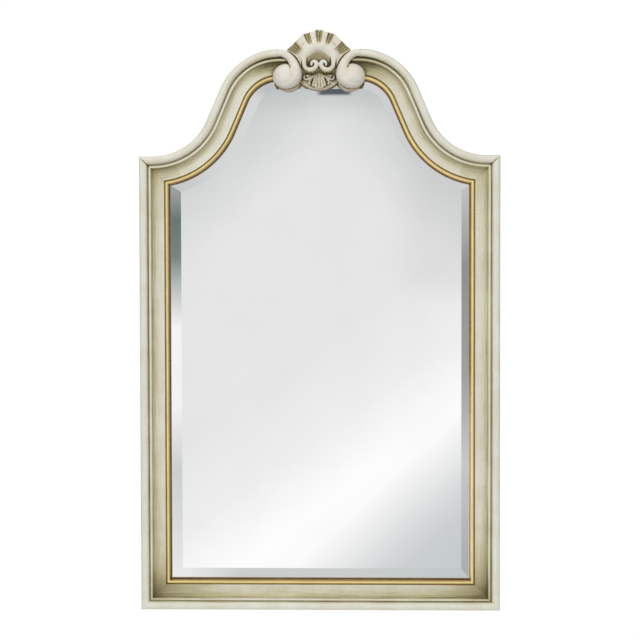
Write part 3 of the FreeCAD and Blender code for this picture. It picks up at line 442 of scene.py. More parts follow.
straightShares = [0, 0.0006, 0.003, 0.008, 0.016, 0.026, 0.04, 0.06, 0.08]
straightShares += [0.1 + 0.04 * k for k in range(21)] + [1 - s for s in reversed(straightShares)]
archParts = [(0, 20), (1, 20), (2, 6), (3, 40), (4, 26)]
archStations = []
for part, count in archParts:
    for k in range(count + (part == 4)):
        t = k / count
        archStations.append((part, t ** 1.5 if part == 0 else t, 0))
walked = 0
for k, (part, t, _) in enumerate(archStations):
    if k:
        x, z = archRun(archStations[k], 30)[:2]
        px, pz = archRun(archStations[k - 1], 30)[:2]
        walked += math.hypot(x - px, z - pz)
    archStations[k] = (part, t, walked)


def setValues(mesh, name, values):
    layer = mesh.attributes.get(name) or mesh.attributes.new(name, "FLOAT", "POINT")
    layer.data.foreach_set("value", np.asarray(values, np.float32))


def between(value, low, high):
    share = np.clip((value - low) / (high - low), 0, 1)
    return share * share * (3 - 2 * share)


def readValues(mesh, name):
    values = np.zeros(len(mesh.vertices), np.float32)
    mesh.attributes[name].data.foreach_get("value", values)
    return values


def sweptPiece(name, section, run, stations, materials, mitreEnds):
    points = roundedSection(section["corners"])
    count = len(points)
    vertices, across, along, joint, cornerDarkening = [], [], [], [], []
    for number, station in enumerate(stations):
        isEnd = number == len(stations) - 1 if mitreEnds == "last" else mitreEnds == "first" and number == 0
        for k, (u, h, finish) in enumerate(points):
            if isEnd and h > 1 and u < 17:  # the paint has opened a hair along the bead's mitre
                after, before = points[(k + 1) % count], points[k - 1]
                turn = Vector((after[1] - before[1], before[0] - after[0])).normalized() * mitreGroove
                u, h = u + turn.x, h + turn.y
            x, z, reach, gap, washAndPaintedLight = run(station, u)
            vertices.append(place(x, z, h))
            across.append(u)
            along.append(reach)
            joint.append(gap)
            cornerDarkening.append(washAndPaintedLight)
    faces, finishes = [], []
    for ring in range(len(stations) - 1):
        for k in range(count):
            following = (k + 1) % count
            faces.append((ring * count + k, ring * count + following, (ring + 1) * count + following,
                          (ring + 1) * count + k))
            finishes.append(points[k][2])
    faces.append(tuple(range(count)))
    faces.append(tuple(range(len(vertices) - count, len(vertices))))
    finishes += [1 if len(materials) > 1 else 0] * 2
    mesh = bpy.data.meshes.new(name)
    mesh.from_pydata(vertices, [], faces)
    mesh.polygons.foreach_set("material_index", finishes)
    for attribute, values in (("across", across), ("along", along), ("joint", joint), ("cornerDarkening", cornerDarkening),
                              ("washAndPaintedLight", [0] * len(across))):
        setValues(mesh, attribute, values)
    piece = newPiece(name, mesh, materials)
    tidyNormals(mesh)
    return piece


def tidyNormals(mesh, sharpAngle=55):
    bm = bmesh.new()
    bm.from_mesh(mesh)
    bmesh.ops.recalc_face_normals(bm, faces=bm.faces)
    for face in bm.faces:
        face.smooth = True
    for edge in bm.edges:
        edge.smooth = len(edge.link_faces) == 2 and edge.calc_face_angle(0) < math.radians(sharpAngle)
    bm.to_mesh(mesh)
    bm.free()


def mirroredPiece(piece, name):
    mesh = piece.data.copy()
    mesh.name = name
    positions = np.zeros(len(mesh.vertices) * 3, np.float32)
    mesh.vertices.foreach_get("co", positions)
    positions[0::3] *= -1
    mesh.vertices.foreach_set("co", positions)
    mesh.flip_normals()
    if "along" in mesh.attributes:
        setValues(mesh, "along", readValues(mesh, "along") + brushStart["mirrored"])
    copy = bpy.data.objects.new(name, mesh)
    scene.collection.objects.link(copy)
    return copy


def traced(steps, spacing=2.0):
    points = [Vector(steps[0])]
    for step in steps[1:]:
        if not isinstance(step[0], tuple):
            points.append(Vector(step))
            continue
        a, b, c = points[-1], Vector(step[0]), Vector(step[1])
        d = 2 * (a.x * (b.y - c.y) + b.x * (c.y - a.y) + c.x * (a.y - b.y))
        aa, bb, cc = (p.length_squared for p in (a, b, c))
        centre = Vector(((aa * (b.y - c.y) + bb * (c.y - a.y) + cc * (a.y - b.y)) / d,
                         (aa * (c.x - b.x) + bb * (a.x - c.x) + cc * (b.x - a.x)) / d))
        radius = (a - centre).length
        first, middle, end = (math.atan2(p.y - centre.y, p.x - centre.x) for p in (a, b, c))
        turn = (end - first) % (2 * math.pi)
        if (middle - first) % (2 * math.pi) > turn:
            turn -= 2 * math.pi
        count = max(4, math.ceil(abs(turn) * radius / spacing))
        for k in range(1, count + 1):
            angle = first + turn * k / count
            points.append(centre + Vector((math.cos(angle), math.sin(angle))) * radius)
    if (points[0] - points[-1]).length < 1e-4:
        points.pop()
    return points


def slabMesh(name, points, low, high):
    count = len(points)
    vertices = [place(p.x, p.y, low) for p in points] + [place(p.x, p.y, high) for p in points]
    faces = [tuple(range(count)), tuple(range(2 * count - 1, count - 1, -1))]
    faces += [(k, (k + 1) % count, count + (k + 1) % count, count + k) for k in range(count)]
    mesh = bpy.data.meshes.new(name)
    mesh.from_pydata(vertices, [], faces)
    tidyNormals(mesh)
    return mesh


# Outlines of the crest as the carver marks them out, on the right half. Circles are x, z and radius.
crest = {
    "neck": (81.2, 1057.3, 48.1), "eye": (81.2, 1067.9, 23.6), "boss": (64.4, 1051.2, 26.2),
    "heelRadius": 31.3, "rim": (58.8, 1049.9, 25.2), "cusp": (36.5, 1042.0), "rimLow": 1026.8, "side": 50.0,
    "sideLow": 1085.0, "sideHigh": 1100.0, "fan": (0, 1067.0), "collar": (0, 1081.5), "plateTop": 1134.0,
    "pastRadius": 46.6, "pastDepth": 16.0, "eyeDepth": 15.8,
}


def onCircle(circle, degrees):
    turn = math.radians(degrees)
    return (circle[0] + circle[2] * math.cos(turn), circle[1] + circle[2] * math.sin(turn))


def mirroredPoint(p):
    return (-p[0], p[1])


bx, bz, bossRadius = crest["boss"]
tip = onCircle(crest["eye"], 175)
heel = (bx, bz - bossRadius + crest["heelRadius"], crest["heelRadius"])
bossHead = (bx, bz + bossRadius)
scrollSteps = [
    (crest["neck"][0], arch["top"]),
    (onCircle(crest["neck"], 135), onCircle(crest["neck"], 180)),
    (onCircle(heel, 225), (bx, bz - bossRadius)),
    ((bx + bossRadius, bz), bossHead),
    ((bossHead[0] * 0.5 + tip[0] * 0.5, bossHead[1] * 0.75 + tip[1] * 0.25), tip),
    (onCircle(crest["eye"], 135), (crest["eye"][0], arch["top"] - crest["eyeDepth"])),
]
rimSide = (crest["rim"][0] + crest["rim"][2], crest["rim"][1])
rimFoot = (crest["rim"][0], crest["rim"][1] - crest["rim"][2])
inner = (bx + bossRadius / 3, bz + bossRadius / 3)
neckPoint = (crest["side"], crest["fan"][1])
lowSide = (crest["side"], crest["sideLow"])
highSide = (crest["side"], crest["sideHigh"])
baseSteps = [
    crest["cusp"], (rimFoot, rimSide), inner, neckPoint, lowSide, highSide,
    ((0, crest["plateTop"]), mirroredPoint(highSide)), mirroredPoint(lowSide), mirroredPoint(neckPoint),
    mirroredPoint(inner), mirroredPoint(rimSide), (mirroredPoint(rimFoot), mirroredPoint(crest["cusp"])),
    ((0, crest["rimLow"]), crest["cusp"])]
pastCircle = (crest["neck"][0], crest["neck"][1], crest["pastRadius"])
level = arch["top"] - crest["pastDepth"]
levelAngle = 180 - math.degrees(math.asin((level - crest["neck"][1]) / crest["pastRadius"]))
pastSteps = [
    (crest["neck"][0], arch["top"] + 5), onCircle(pastCircle, 90),
    (onCircle(pastCircle, (90 + levelAngle) / 2), onCircle(pastCircle, levelAngle)),
    (-5, level), (-5, arch["top"] + 5)]


def evaluatedMesh(piece):
    graph = bpy.context.evaluated_depsgraph_get()
    mesh = bpy.data.meshes.new_from_object(piece.evaluated_get(graph), depsgraph=graph)
    piece.modifiers.clear()
    piece.data = mesh
    return mesh


def cutFor(piece, cutters):
    before = piece.data
    corners = [v.co.copy() for v in before.vertices]
    polygons = [tuple(p.vertices) for p in before.polygons]
    surface = BVHTree.FromPolygons(corners, polygons)
    names = ("across", "along", "joint", "cornerDarkening")
    old = {name: readValues(before, name) for name in names}
    for cutter in cutters:
        modifier = piece.modifiers.new("seat", "BOOLEAN")
        modifier.object, modifier.operation, modifier.solver = cutter, "DIFFERENCE", "EXACT"
    mesh = evaluatedMesh(piece)
    values = {name: [] for name in names}
    for vertex in mesh.vertices:
        spot, _, index, _ = surface.find_nearest(vertex.co)
        weights = poly_3d_calc([corners[k] for k in polygons[index]], spot)
        for name in names:
            values[name].append(sum(w * old[name][k] for w, k in zip(weights, polygons[index])))
    for name in names:
        setValues(mesh, name, values[name])
    setValues(mesh, "washAndPaintedLight", [0] * len(mesh.vertices))
    tidyNormals(mesh, 40)


cutters = []
for name, steps, low in (
        ("baseSeat", baseSteps, 14), ("scrollSeat", scrollSteps, 20), ("pastScroll", pastSteps, -5)):
    cutter = bpy.data.objects.new(name, slabMesh(name, traced(steps), low, 60))
    scene.collection.objects.link(cutter)
    cutters.append(cutter)

woodFinishes = [paintedMoulding, barePine]
mouldings = {}
for node, section, run, stations, materials, ends in (
        ("right_stile", memberSection, stileRun, straightShares, woodFinishes, "last"),
        ("bottom_rail", memberSection, bottomRun, straightShares, woodFinishes, "none"),
        ("top_rail_right", memberSection, archRun, archStations, woodFinishes, "first"),
        ("gilt_slip_right", slipSection, stileRun, straightShares, [gold], "none"),
        ("gilt_slip_bottom", slipSection, bottomRun, straightShares, [gold], "none"),
        ("gilt_slip_top_right", slipSection, archRun, archStations, [gold], "none")):
    piece = sweptPiece(node + "_run", section, run, stations, materials, ends)
    if "top" in node:
        cutFor(piece, cutters)
    mouldings[node] = piece
    if "right" in node:
        other = node.replace("right", "left")
        mouldings[other] = mirroredPiece(piece, other + "_run")
for cutter in cutters:
    bpy.data.objects.remove(cutter)
for node, piece in mouldings.items():
    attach(piece, "frame")
    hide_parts(node)
railMesh = mouldings["bottom_rail"].data
footWash = 0.06 * between(readValues(railMesh, "across"), 18, 24)  # more was left at the foot
setValues(railMesh, "washAndPaintedLight", footWash)
print("mouldings swept,", sum(len(p.data.polygons) for p in mouldings.values()), "faces")

# The crest: each carved piece is its solid, remeshed fine and worked over with small cuts

carving = {
    "voxel": 0.7, "smoothing": 4,
    # lean and half width of each flute, in degrees
    "flutes": [(-50, 10.0), (-19.7, 5.4), (0.4, 5.6), (19.7, 5.4), (50, 10.0)],
    "fluteStart": 44.0, "stripeDepth": 0.8, "fluteWash": 0.44, "stripeWash": 0.38, "radialWash": 0.06,
    "bowlPaint": (23.5, 1080.0, 17.0), "bowlWash": 0.29,
    # height of the hollow at distances from its centre
    "bowl": [(0, 33.5), (8, 35.5), (12, 38.2), (16, 42.3), (20, 46.0), (24, 48.2), (28, 48.7), (31.0, 48.6),
             (34.5, 47.0), (38.0, 44.2), (42.0, 41.2), (46.0, 38.0), (49.0, 20.0)],
    "bowlWider": 2.6,
    "bossFoot": 3.0, "eyeMend": (54.0, 1056.5, 12.0), "eyeTip": (59.5, 1068.5),
}

def remeshed(piece, voxel, smoothing):
    grid = piece.modifiers.new("grid", "REMESH")
    grid.mode, grid.voxel_size = "VOXEL", voxel * mm
    soften = piece.modifiers.new("soften", "SMOOTH")
    soften.factor, soften.iterations = 0.5, smoothing
    evaluatedMesh(piece)


def softened(piece, weights, rounds):
    group = piece.vertex_groups.new(name="soft")
    for index in np.nonzero(weights > 0.01)[0]:
        group.add([int(index)], float(weights[index]), "REPLACE")
    soften = piece.modifiers.new("soften", "SMOOTH")
    soften.factor, soften.iterations, soften.vertex_group = 0.5, rounds, "soft"
    evaluatedMesh(piece)
    piece.vertex_groups.clear()


def thinned(piece, faces):
    have = sum(len(p.vertices) - 2 for p in piece.data.polygons)
    if have > faces:
        fewer = piece.modifiers.new("fewer", "DECIMATE")
        fewer.ratio = faces / have
        evaluatedMesh(piece)
    piece.data.polygons.foreach_set("use_smooth", [True] * len(piece.data.polygons))


def meshPoints(mesh):
    positions = np.zeros(len(mesh.vertices) * 3, np.float64)
    mesh.vertices.foreach_get("co", positions)
    return positions.reshape(-1, 3) * 1000 * [1, -1, 1]  # x, height, z in mm


def setPoints(mesh, points):
    mesh.vertices.foreach_set("co", (points * mm * [1, -1, 1]).astype(np.float32).ravel())
    mesh.update()


def inFlute(x, z):
    away = np.hypot(x - crest["fan"][0], z - crest["fan"][1])
    lean = np.degrees(np.arctan2(x - crest["fan"][0], z - crest["fan"][1]))
    inside, stripe = np.zeros(len(x)), np.zeros(len(x))
    for angle, half in carving["flutes"]:
        off = (lean - angle) / half
        start = carving["fluteStart"] + 3.0 * np.sin(lean * 1.3 + 0.7)  # the cuts begin raggedly
        share = between(1.15 - np.abs(off), 0, 0.35) * between(away, start, start + 8)
        inside = np.maximum(inside, share)
        stripes = 2.5 if half < 8 else 4.5
        stripe += share * (0.5 - 0.5 * np.cos((off + 1) * stripes * np.pi))
    return inside, stripe


def joinedCopy(name, nodes):
    bm = bmesh.new()
    for node in nodes:
        first = len(bm.verts)
        bm.from_mesh(cad[node].data)
        bm.verts.ensure_lookup_table()
        side = 1 if "right" in node else -1 if "left" in node else 0
        for vertex in bm.verts[first:]:  # the two halves of a pair run into each other
            if side and abs(vertex.co.x) < 0.3 * mm:
                vertex.co.x = -0.8 * mm * side
    mesh = bpy.data.meshes.new(name)
    bm.to_mesh(mesh)
    bm.free()
    return newPiece(name, mesh, [paintedCarving])


def finishCarving(piece, faces):
    thinned(piece, faces)
    piece.data.materials.clear()
    piece.data.materials.append(paintedCarving)
    return piece


# the shell with the collar that rolls over its hollow and ends in the two small scrolls
shell = joinedCopy("shell_carving", ["shell", "small_scroll_right", "small_scroll_left"])
remeshed(shell, carving["voxel"], carving["smoothing"])
points = meshPoints(shell.data)
x, h, z = points.T
ring = np.hypot(x - crest["collar"][0], z - crest["collar"][1])
nearScroll = np.hypot(np.abs(x) - crest["neck"][0], z - crest["neck"][1]) - crest["neck"][2]
upper = np.where(ring < 27, between(z, 1071, 1092), between(z, 1060, 1070))
upper *= between(nearScroll, 1.0, 6.0) * (h > 28)
filled = np.maximum(h, h + (np.interp(ring, *zip(*carving["bowl"])) - h) * upper)
inside, stripe = inFlute(x, z)
h2 = filled - carving["stripeDepth"] * stripe * (h > 30)
# its foot slopes down to the leaves, and the scrolls' sides reach down with it
slope = (1 - 0.85 * between(z, 1069, 1057)) * (1 - between(np.abs(x), 28, 36)) + between(np.abs(x), 28, 36)
low = 20 + (np.minimum(h2, 34) - 20) * slope
points[:, 1] = np.where(h2 <= 34, low, np.where(h2 < 46, low + (h2 - 34) / 12 * (46 - low), h2))
wider = between(ring, 18.5, 21) * (1 - between(ring, 24, 31))
wider *= between(z, 1060, 1067) * (1 - between(z, 1088, 1098))
points[:, 0] += np.sign(x) * carving["bowlWider"] * wider * (h > 24)
setPoints(shell.data, points)
softened(shell, np.where(ring < 27, between(ring, 6, 12), 1 - between(ring, 42, 48)) * upper, 16)
finishCarving(shell, 60000)

# the large scrolls: the bead turns in and rolls up into a round boss, with only a short cut at its eye
scroll = joinedCopy("large_scroll_right_carving", ["large_scroll_right"])
remeshed(scroll, carving["voxel"], carving["smoothing"])
points = meshPoints(scroll.data)
x, h, z = points.T
eyeX, eyeZ, eyeReach = carving["eyeMend"]
mend = 1 - between(np.hypot(x - eyeX, (z - eyeZ) * 0.8), eyeReach * 0.6, eyeReach)
mend *= between(np.hypot(x - carving["eyeTip"][0], z - carving["eyeTip"][1]), 3, 7) * (h > 24)
softened(scroll, mend, 500)
points = meshPoints(scroll.data)
points[:, 2] += carving["bossFoot"] * between(points[:, 2], 1050, 1026)
setPoints(scroll.data, points)
finishCarving(scroll, 22000)

# the palmette: ribs and curled leaves laid on a sunk ground
leaves = [  # x, z, height and radius at points along each rib, right half
    [(0, 1066, 25.2, 1.8), (0, 1056, 26.4, 2.2), (0, 1046, 26.2, 2.5), (0, 1038, 25.4, 2.6),
     (0, 1032.5, 24.4, 2.4)],
    [(1.6, 1063, 25.2, 1.6), (4.0, 1053.5, 26.0, 1.9), (5.2, 1045, 25.8, 2.2), (6.0, 1038, 25.2, 2.4),
     (6.2, 1033.4, 24.2, 2.3)],
    [(3.2, 1061.5, 25.2, 1.6), (7.4, 1054.5, 26.0, 1.8), (9.8, 1047, 25.8, 2.0), (11.3, 1041, 25.4, 2.2),
     (11.4, 1036.4, 24.6, 2.2)],
    [(5.0, 1059.5, 25.4, 1.5), (11, 1055.2, 26.0, 1.6), (16.2, 1051.5, 26.2, 1.7), (19.3, 1047.3, 25.8, 1.7),
     (19.4, 1042.8, 25.2, 1.8), (17.4, 1040.2, 24.8, 2.3)],
    [(12, 1054.5, 23.4, 1.4), (15.2, 1050, 23.4, 1.6), (17.0, 1046, 23.2, 1.5)],
    [(9, 1059.5, 25.2, 1.5), (15, 1054.5, 25.8, 1.6), (19.5, 1051.6, 26.0, 1.7), (24.6, 1048.9, 26.0, 1.7),
     (28.6, 1051, 25.6, 1.7), (29.6, 1054.6, 25.0, 1.9), (28.4, 1057.2, 24.6, 2.0)],
    [(10, 1062, 23.8, 3.0), (17, 1058.5, 24.2, 3.4), (24.5, 1055.5, 23.8, 3.2)],
    [(13, 1064, 22.8, 2.6), (21, 1061.5, 22.8, 2.8), (27, 1060, 22.6, 2.4)],
]
leafDrop, leafFuller = 2.8, 1.08
curve = bpy.data.curves.new("palmette_ribs", "CURVE")
curve.dimensions, curve.bevel_depth, curve.bevel_resolution, curve.use_fill_caps = "3D", mm, 4, True
for leaf in leaves:
    leaf = [(x, z - leafDrop, h, leafFuller * radius) for x, z, h, radius in leaf]
    for side in (1, -1) if leaf[0][0] else (1,):
        spline = curve.splines.new("NURBS")
        spline.points.add(len(leaf) - 1)
        for point, (x, z, h, radius) in zip(spline.points, leaf):
            point.co = (*place(side * x, z, h), 1)
            point.radius = radius
        spline.order_u, spline.use_endpoint_u, spline.resolution_u = 3, True, 8
ribs = bpy.data.objects.new("palmette_ribs", curve)
scene.collection.objects.link(ribs)
graph = bpy.context.evaluated_depsgraph_get()
bm = bmesh.new()
bm.from_mesh(bpy.data.meshes.new_from_object(ribs.evaluated_get(graph)))
ground = [(29.5, 1062.5), ((32.5, 1054.0), (33.0, 1044.5)), ((18.2, 1031.6), (0, 1027.6)),
          ((-18.2, 1031.6), (-33.0, 1044.5)), ((-32.5, 1054.0), (-29.5, 1062.5)), (29.5, 1062.5)]
bm.from_mesh(slabMesh("palmette_ground", traced(ground), 20.05, 21.6))
middle = [(0, 1062.0), (7.6, 1050.5), (10.6, 1036.0), (6.5, 1029.4), (-6.5, 1029.4), (-10.6, 1036.0),
          (-7.6, 1050.5), (0, 1062.0)]
bm.from_mesh(slabMesh("palmette_middle", traced(middle), 20.05, 24.9))
mesh = bpy.data.meshes.new("palmette_carving")
bm.to_mesh(mesh)
bm.free()
bpy.data.objects.remove(ribs)
palmette = newPiece("palmette_carving", mesh, [paintedCarving])
remeshed(palmette, 0.5, 2)
finishCarving(palmette, 30000)

basePlate = slabMesh("crest_base_plate", traced(baseSteps, 1.5), 14, 20)
bm = bmesh.new()
bm.from_mesh(basePlate)
front = [e for e in bm.edges if all(v.co.y < -19.9 * mm for v in e.verts)]
bmesh.ops.bevel(bm, geom=front, offset=1.0 * mm, segments=3, affect="EDGES", profile=0.5)
bm.to_mesh(basePlate)
bm.free()
tidyNormals(basePlate, 50)
plateWorked = newPiece("crest_base_plate", basePlate, [paintedCarving])
carvings = [(shell, ["shell", "small_scroll_right", "small_scroll_left"]), (scroll, ["large_scroll_right"]),
            (mirroredPiece(scroll, "large_scroll_left_carving"), ["large_scroll_left"]),
            (palmette, ["palmette"]), (plateWorked, ["crest_base"])]
for piece, nodes in carvings:
    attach(piece, "frame")
    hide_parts(*nodes)
print("crest carved,", sum(len(p.data.polygons) for p, _ in carvings), "faces")

# The crest's hollows darkened, partly the umber wash left in them and partly painted shade in the recesses
# and under the pieces that overhang: how far each point lies below what is round it

hollows = {"x": (-135, 135), "z": (985, 1150), "pitch": 0.6, "hidden": 1.2, "plain": 0.06,
           "fine": 1.6, "fineDepth": 1.1, "fineShare": 0.62, "wide": 5.0, "wideDepth": 5.5, "wideShare": 0.75}


def heightGrid(pieces):
    vertices, faces = [], []
    for piece in pieces:
        first = len(vertices)
        vertices += [v.co.copy() for v in piece.data.vertices]
        faces += [tuple(first + k for k in p.vertices) for p in piece.data.polygons]
    surface = BVHTree.FromPolygons(vertices, faces)
    xs = np.arange(*hollows["x"], hollows["pitch"])
    zs = np.arange(*hollows["z"], hollows["pitch"])
    heights = np.zeros((len(zs), len(xs)))
    ahead = Vector((0, 1, 0))
    for row, z in enumerate(zs):
        for column, x in enumerate(xs):
            hit = surface.ray_cast(Vector((x * mm, -0.08, z * mm)), ahead)[0]
            heights[row, column] = -hit.y * 1000 if hit else 12
    return heights


def blurred(grid, size):
    reach = int(3 * size / hollows["pitch"])
    kernel = np.exp(-0.5 * (np.arange(-reach, reach + 1) * hollows["pitch"] / size) ** 2)
    kernel /= kernel.sum()
    for axis in (0, 1):
        padded = np.pad(grid, [(reach, reach) if a == axis else (0, 0) for a in (0, 1)], mode="edge")
        grid = np.apply_along_axis(lambda line: np.convolve(line, kernel, mode="valid"), axis, padded)
    return grid


def sampled(grid, x, z):
    column = np.clip((x - hollows["x"][0]) / hollows["pitch"], 0, grid.shape[1] - 1.001)
    row = np.clip((z - hollows["z"][0]) / hollows["pitch"], 0, grid.shape[0] - 1.001)
    c, r = column.astype(int), row.astype(int)
    fc, fr = column - c, row - r
    return ((grid[r, c] * (1 - fc) + grid[r, c + 1] * fc) * (1 - fr)
            + (grid[r + 1, c] * (1 - fc) + grid[r + 1, c + 1] * fc) * fr)


topPieces = [p for node, p in mouldings.items() if "top" in node]
topRails = [p for node, p in mouldings.items() if "top_rail" in node]
crestPieces = [piece for piece, _ in carvings]
front = heightGrid(crestPieces + topPieces)
# wash and painted shade in the recesses: fine for small cuts, wide beside tall walls
fine = np.clip((blurred(front, hollows["fine"]) - front) / hollows["fineDepth"], -0.6, 1)
wide = np.clip((blurred(front, hollows["wide"]) - front) / hollows["wideDepth"], -0.3, 1)
hollowWashAndShade = np.clip(hollows["plain"] + hollows["fineShare"] * fine + hollows["wideShare"] * wide, 0, 1)
for piece in crestPieces + topRails:
    x, h, z = meshPoints(piece.data).T
    inGrid = (np.abs(x) < 132) & (z > 990)
    washAndPaintedLight = sampled(hollowWashAndShade, x, z)
    # painted shade: a point that lies under another piece is darkened
    below = np.clip((sampled(front, x, z) - h - hollows["hidden"]) / 3, 0, 1)
    washAndPaintedLight = np.clip(washAndPaintedLight + 0.45 * below, 0, 1)
    if piece == shell:
        inside, stripe = inFlute(x, z)
        painted = inside * (carving["fluteWash"] + carving["stripeWash"] * stripe)
        lean = np.degrees(np.arctan2(x, z - crest["fan"][1]))
        radial = np.sin(lean * 2.3 + 1.0) * np.sin(lean * 0.71 + 0.4) * (z > 1090)
        washAndPaintedLight = washAndPaintedLight + carving["radialWash"] * radial + 0.08 * between(z, 1080, 1066)
        washAndPaintedLight = washAndPaintedLight + (0.10 + 0.05 * (x < 0)) * between(np.abs(x), 20, 46)
        halfWidth, level, rise = carving["bowlPaint"]  # khaki left in the hollow
        away = np.hypot(x / halfWidth, np.maximum(z - level, 0) / rise)
        inBowl = between(-away, -1.07, -0.93) * between(z, 1066, 1072) * (h < 48.6)
        inBowl *= (z > 1084) | (h < 43) | (np.abs(x) > 18.5)
        paint = carving["bowlWash"] + 0.10 * between(-z, -1097, -1082)
        paint = np.maximum(paint, washAndPaintedLight * between(-z, -1089, -1082))
        washAndPaintedLight = washAndPaintedLight * (1 - inBowl) + paint * inBowl
        washAndPaintedLight = np.where((h < 34) & (z < 1068), np.minimum(washAndPaintedLight, 0.5), np.minimum(washAndPaintedLight, 0.82))
        washAndPaintedLight = np.where(h > 30, np.maximum(washAndPaintedLight * (1 - 0.6 * inside), painted), washAndPaintedLight)
    elif piece == palmette:
        washAndPaintedLight = 0.85 * washAndPaintedLight + 0.15
    elif piece == plateWorked:
        cusp = crest["cusp"][0]
        most = 0.5 - 0.3 * between(np.abs(x), cusp, cusp + 6)  # the wash and painted shade held lower below a boss
        washAndPaintedLight = np.clip(0.7 * washAndPaintedLight, 0.14, most)
    if piece in topRails:
        # painted shade cast by the crest on the rails beside it
        nearCrest = np.clip((128 - np.abs(x)) / 25, 0, 1)
        washAndPaintedLight = np.where(inGrid, np.clip(washAndPaintedLight - 0.1, 0, 0.3) * nearCrest, 0)
        # the cove in the arch's hollow is darker, more so on the right
        hollowCoveDarkening = between(-np.abs(x), -165, -88) * between(z, 985, 1010) * between(-h, -33.5, -31.5)
        u = readValues(piece.data, "across")
        hollowCoveDarkening = hollowCoveDarkening * np.where(h > 29.5, 0.8, 0.55 + 0.45 * between(u, 26, 40))
        washAndPaintedLight = washAndPaintedLight + np.where(x > 0, 0.40, 0.27) * hollowCoveDarkening
        # painted shade on the outer bead's underside along the arch
        washAndPaintedLight = washAndPaintedLight + 0.17 * between(u, 7.5, 14) * (u < 17.4) * between(z, 1000, 1050)
    setValues(piece.data, "washAndPaintedLight", washAndPaintedLight)
slipMesh = mouldings["gilt_slip_right"].data  # low on the right the gold's inner side is painted lighter: a painted highlight between gold and glass
x, h, z = meshPoints(slipMesh).T
setValues(slipMesh, "washAndPaintedLight", between(readValues(slipMesh, "across"), 53.0, 55.5) * between(-z, -500, -340))
print("hollows found")

# The plate: flat silvered glass with a true bevel all round, so that its facets reflect apart

plate = {"edge": 53.6, "front": 77.4, "backHeight": 7.0, "edgeHeight": 9.0, "frontHeight": 12.0,
         "uneven": (3.0, 2.0)}  # the bevel was ground wider on the left and at the foot


def plateLoop(u):
    right = [archRun(station, u)[:2] for station in archStations[::2]]
    side = [(arch["halfWidth"] - u, u + (right[0][1] - u) * k / 12) for k in range(12)]
    loop = side + right
    return loop + [mirroredPoint(p) for p in reversed(loop) if p[0] > 1e-6]


edgeLoop, frontLoop = plateLoop(plate["edge"]), plateLoop(plate["front"])
frontLoop = [(x + plate["uneven"][0], z + plate["uneven"][1]) for x, z in frontLoop]
count = len(edgeLoop)
vertices = [place(x, z, plate["backHeight"]) for x, z in edgeLoop]
vertices += [place(x, z, plate["edgeHeight"]) for x, z in edgeLoop]
vertices += [place(x, z, plate["frontHeight"]) for x, z in frontLoop]
faces = [tuple(range(count)), tuple(range(2 * count, 3 * count))]
for ring in (0, count):
    faces += [(ring + k, ring + (k + 1) % count, ring + count + (k + 1) % count, ring + count + k)
              for k in range(count)]
plateMesh = bpy.data.meshes.new("mirror_plate_glass")
plateMesh.from_pydata(vertices, [], faces)
tidyNormals(plateMesh, 4)
glass = newPiece("mirror_plate_glass", plateMesh, [finishes["silveredFloatGlass"]])
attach(glass, "frame")
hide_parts("mirror_plate")
print("plate bevelled,", count, "points round")

# Hardware and glazing packers keep their solids and take their finishes

finishOf = {  # the first word that stands in a node's name decides
    "backing_board": "pressedHardboard", "cushion_sheet": "pressedGreyFelt",
    "setting_blocks": "mouldedBlackRubber", "edge_spacers": "mouldedBlackRubber",
    "wall_bumper": "mouldedBlackRubber", "brace": "zincPlatedSteel", "screws": "zincPlatedSteel",
    "hanger": "nickelPlatedSteel", "button": "stampedBrass"}
for node, piece in cad.items():
    finish = next((finishes[name] for word, name in finishOf.items() if word in node), None)
    if finish:
        piece.data.materials.clear()
        piece.data.materials.append(finish)
print("hardware finished")

# Studio: white surroundings, what the plate reflects, soft lights and a pale floor

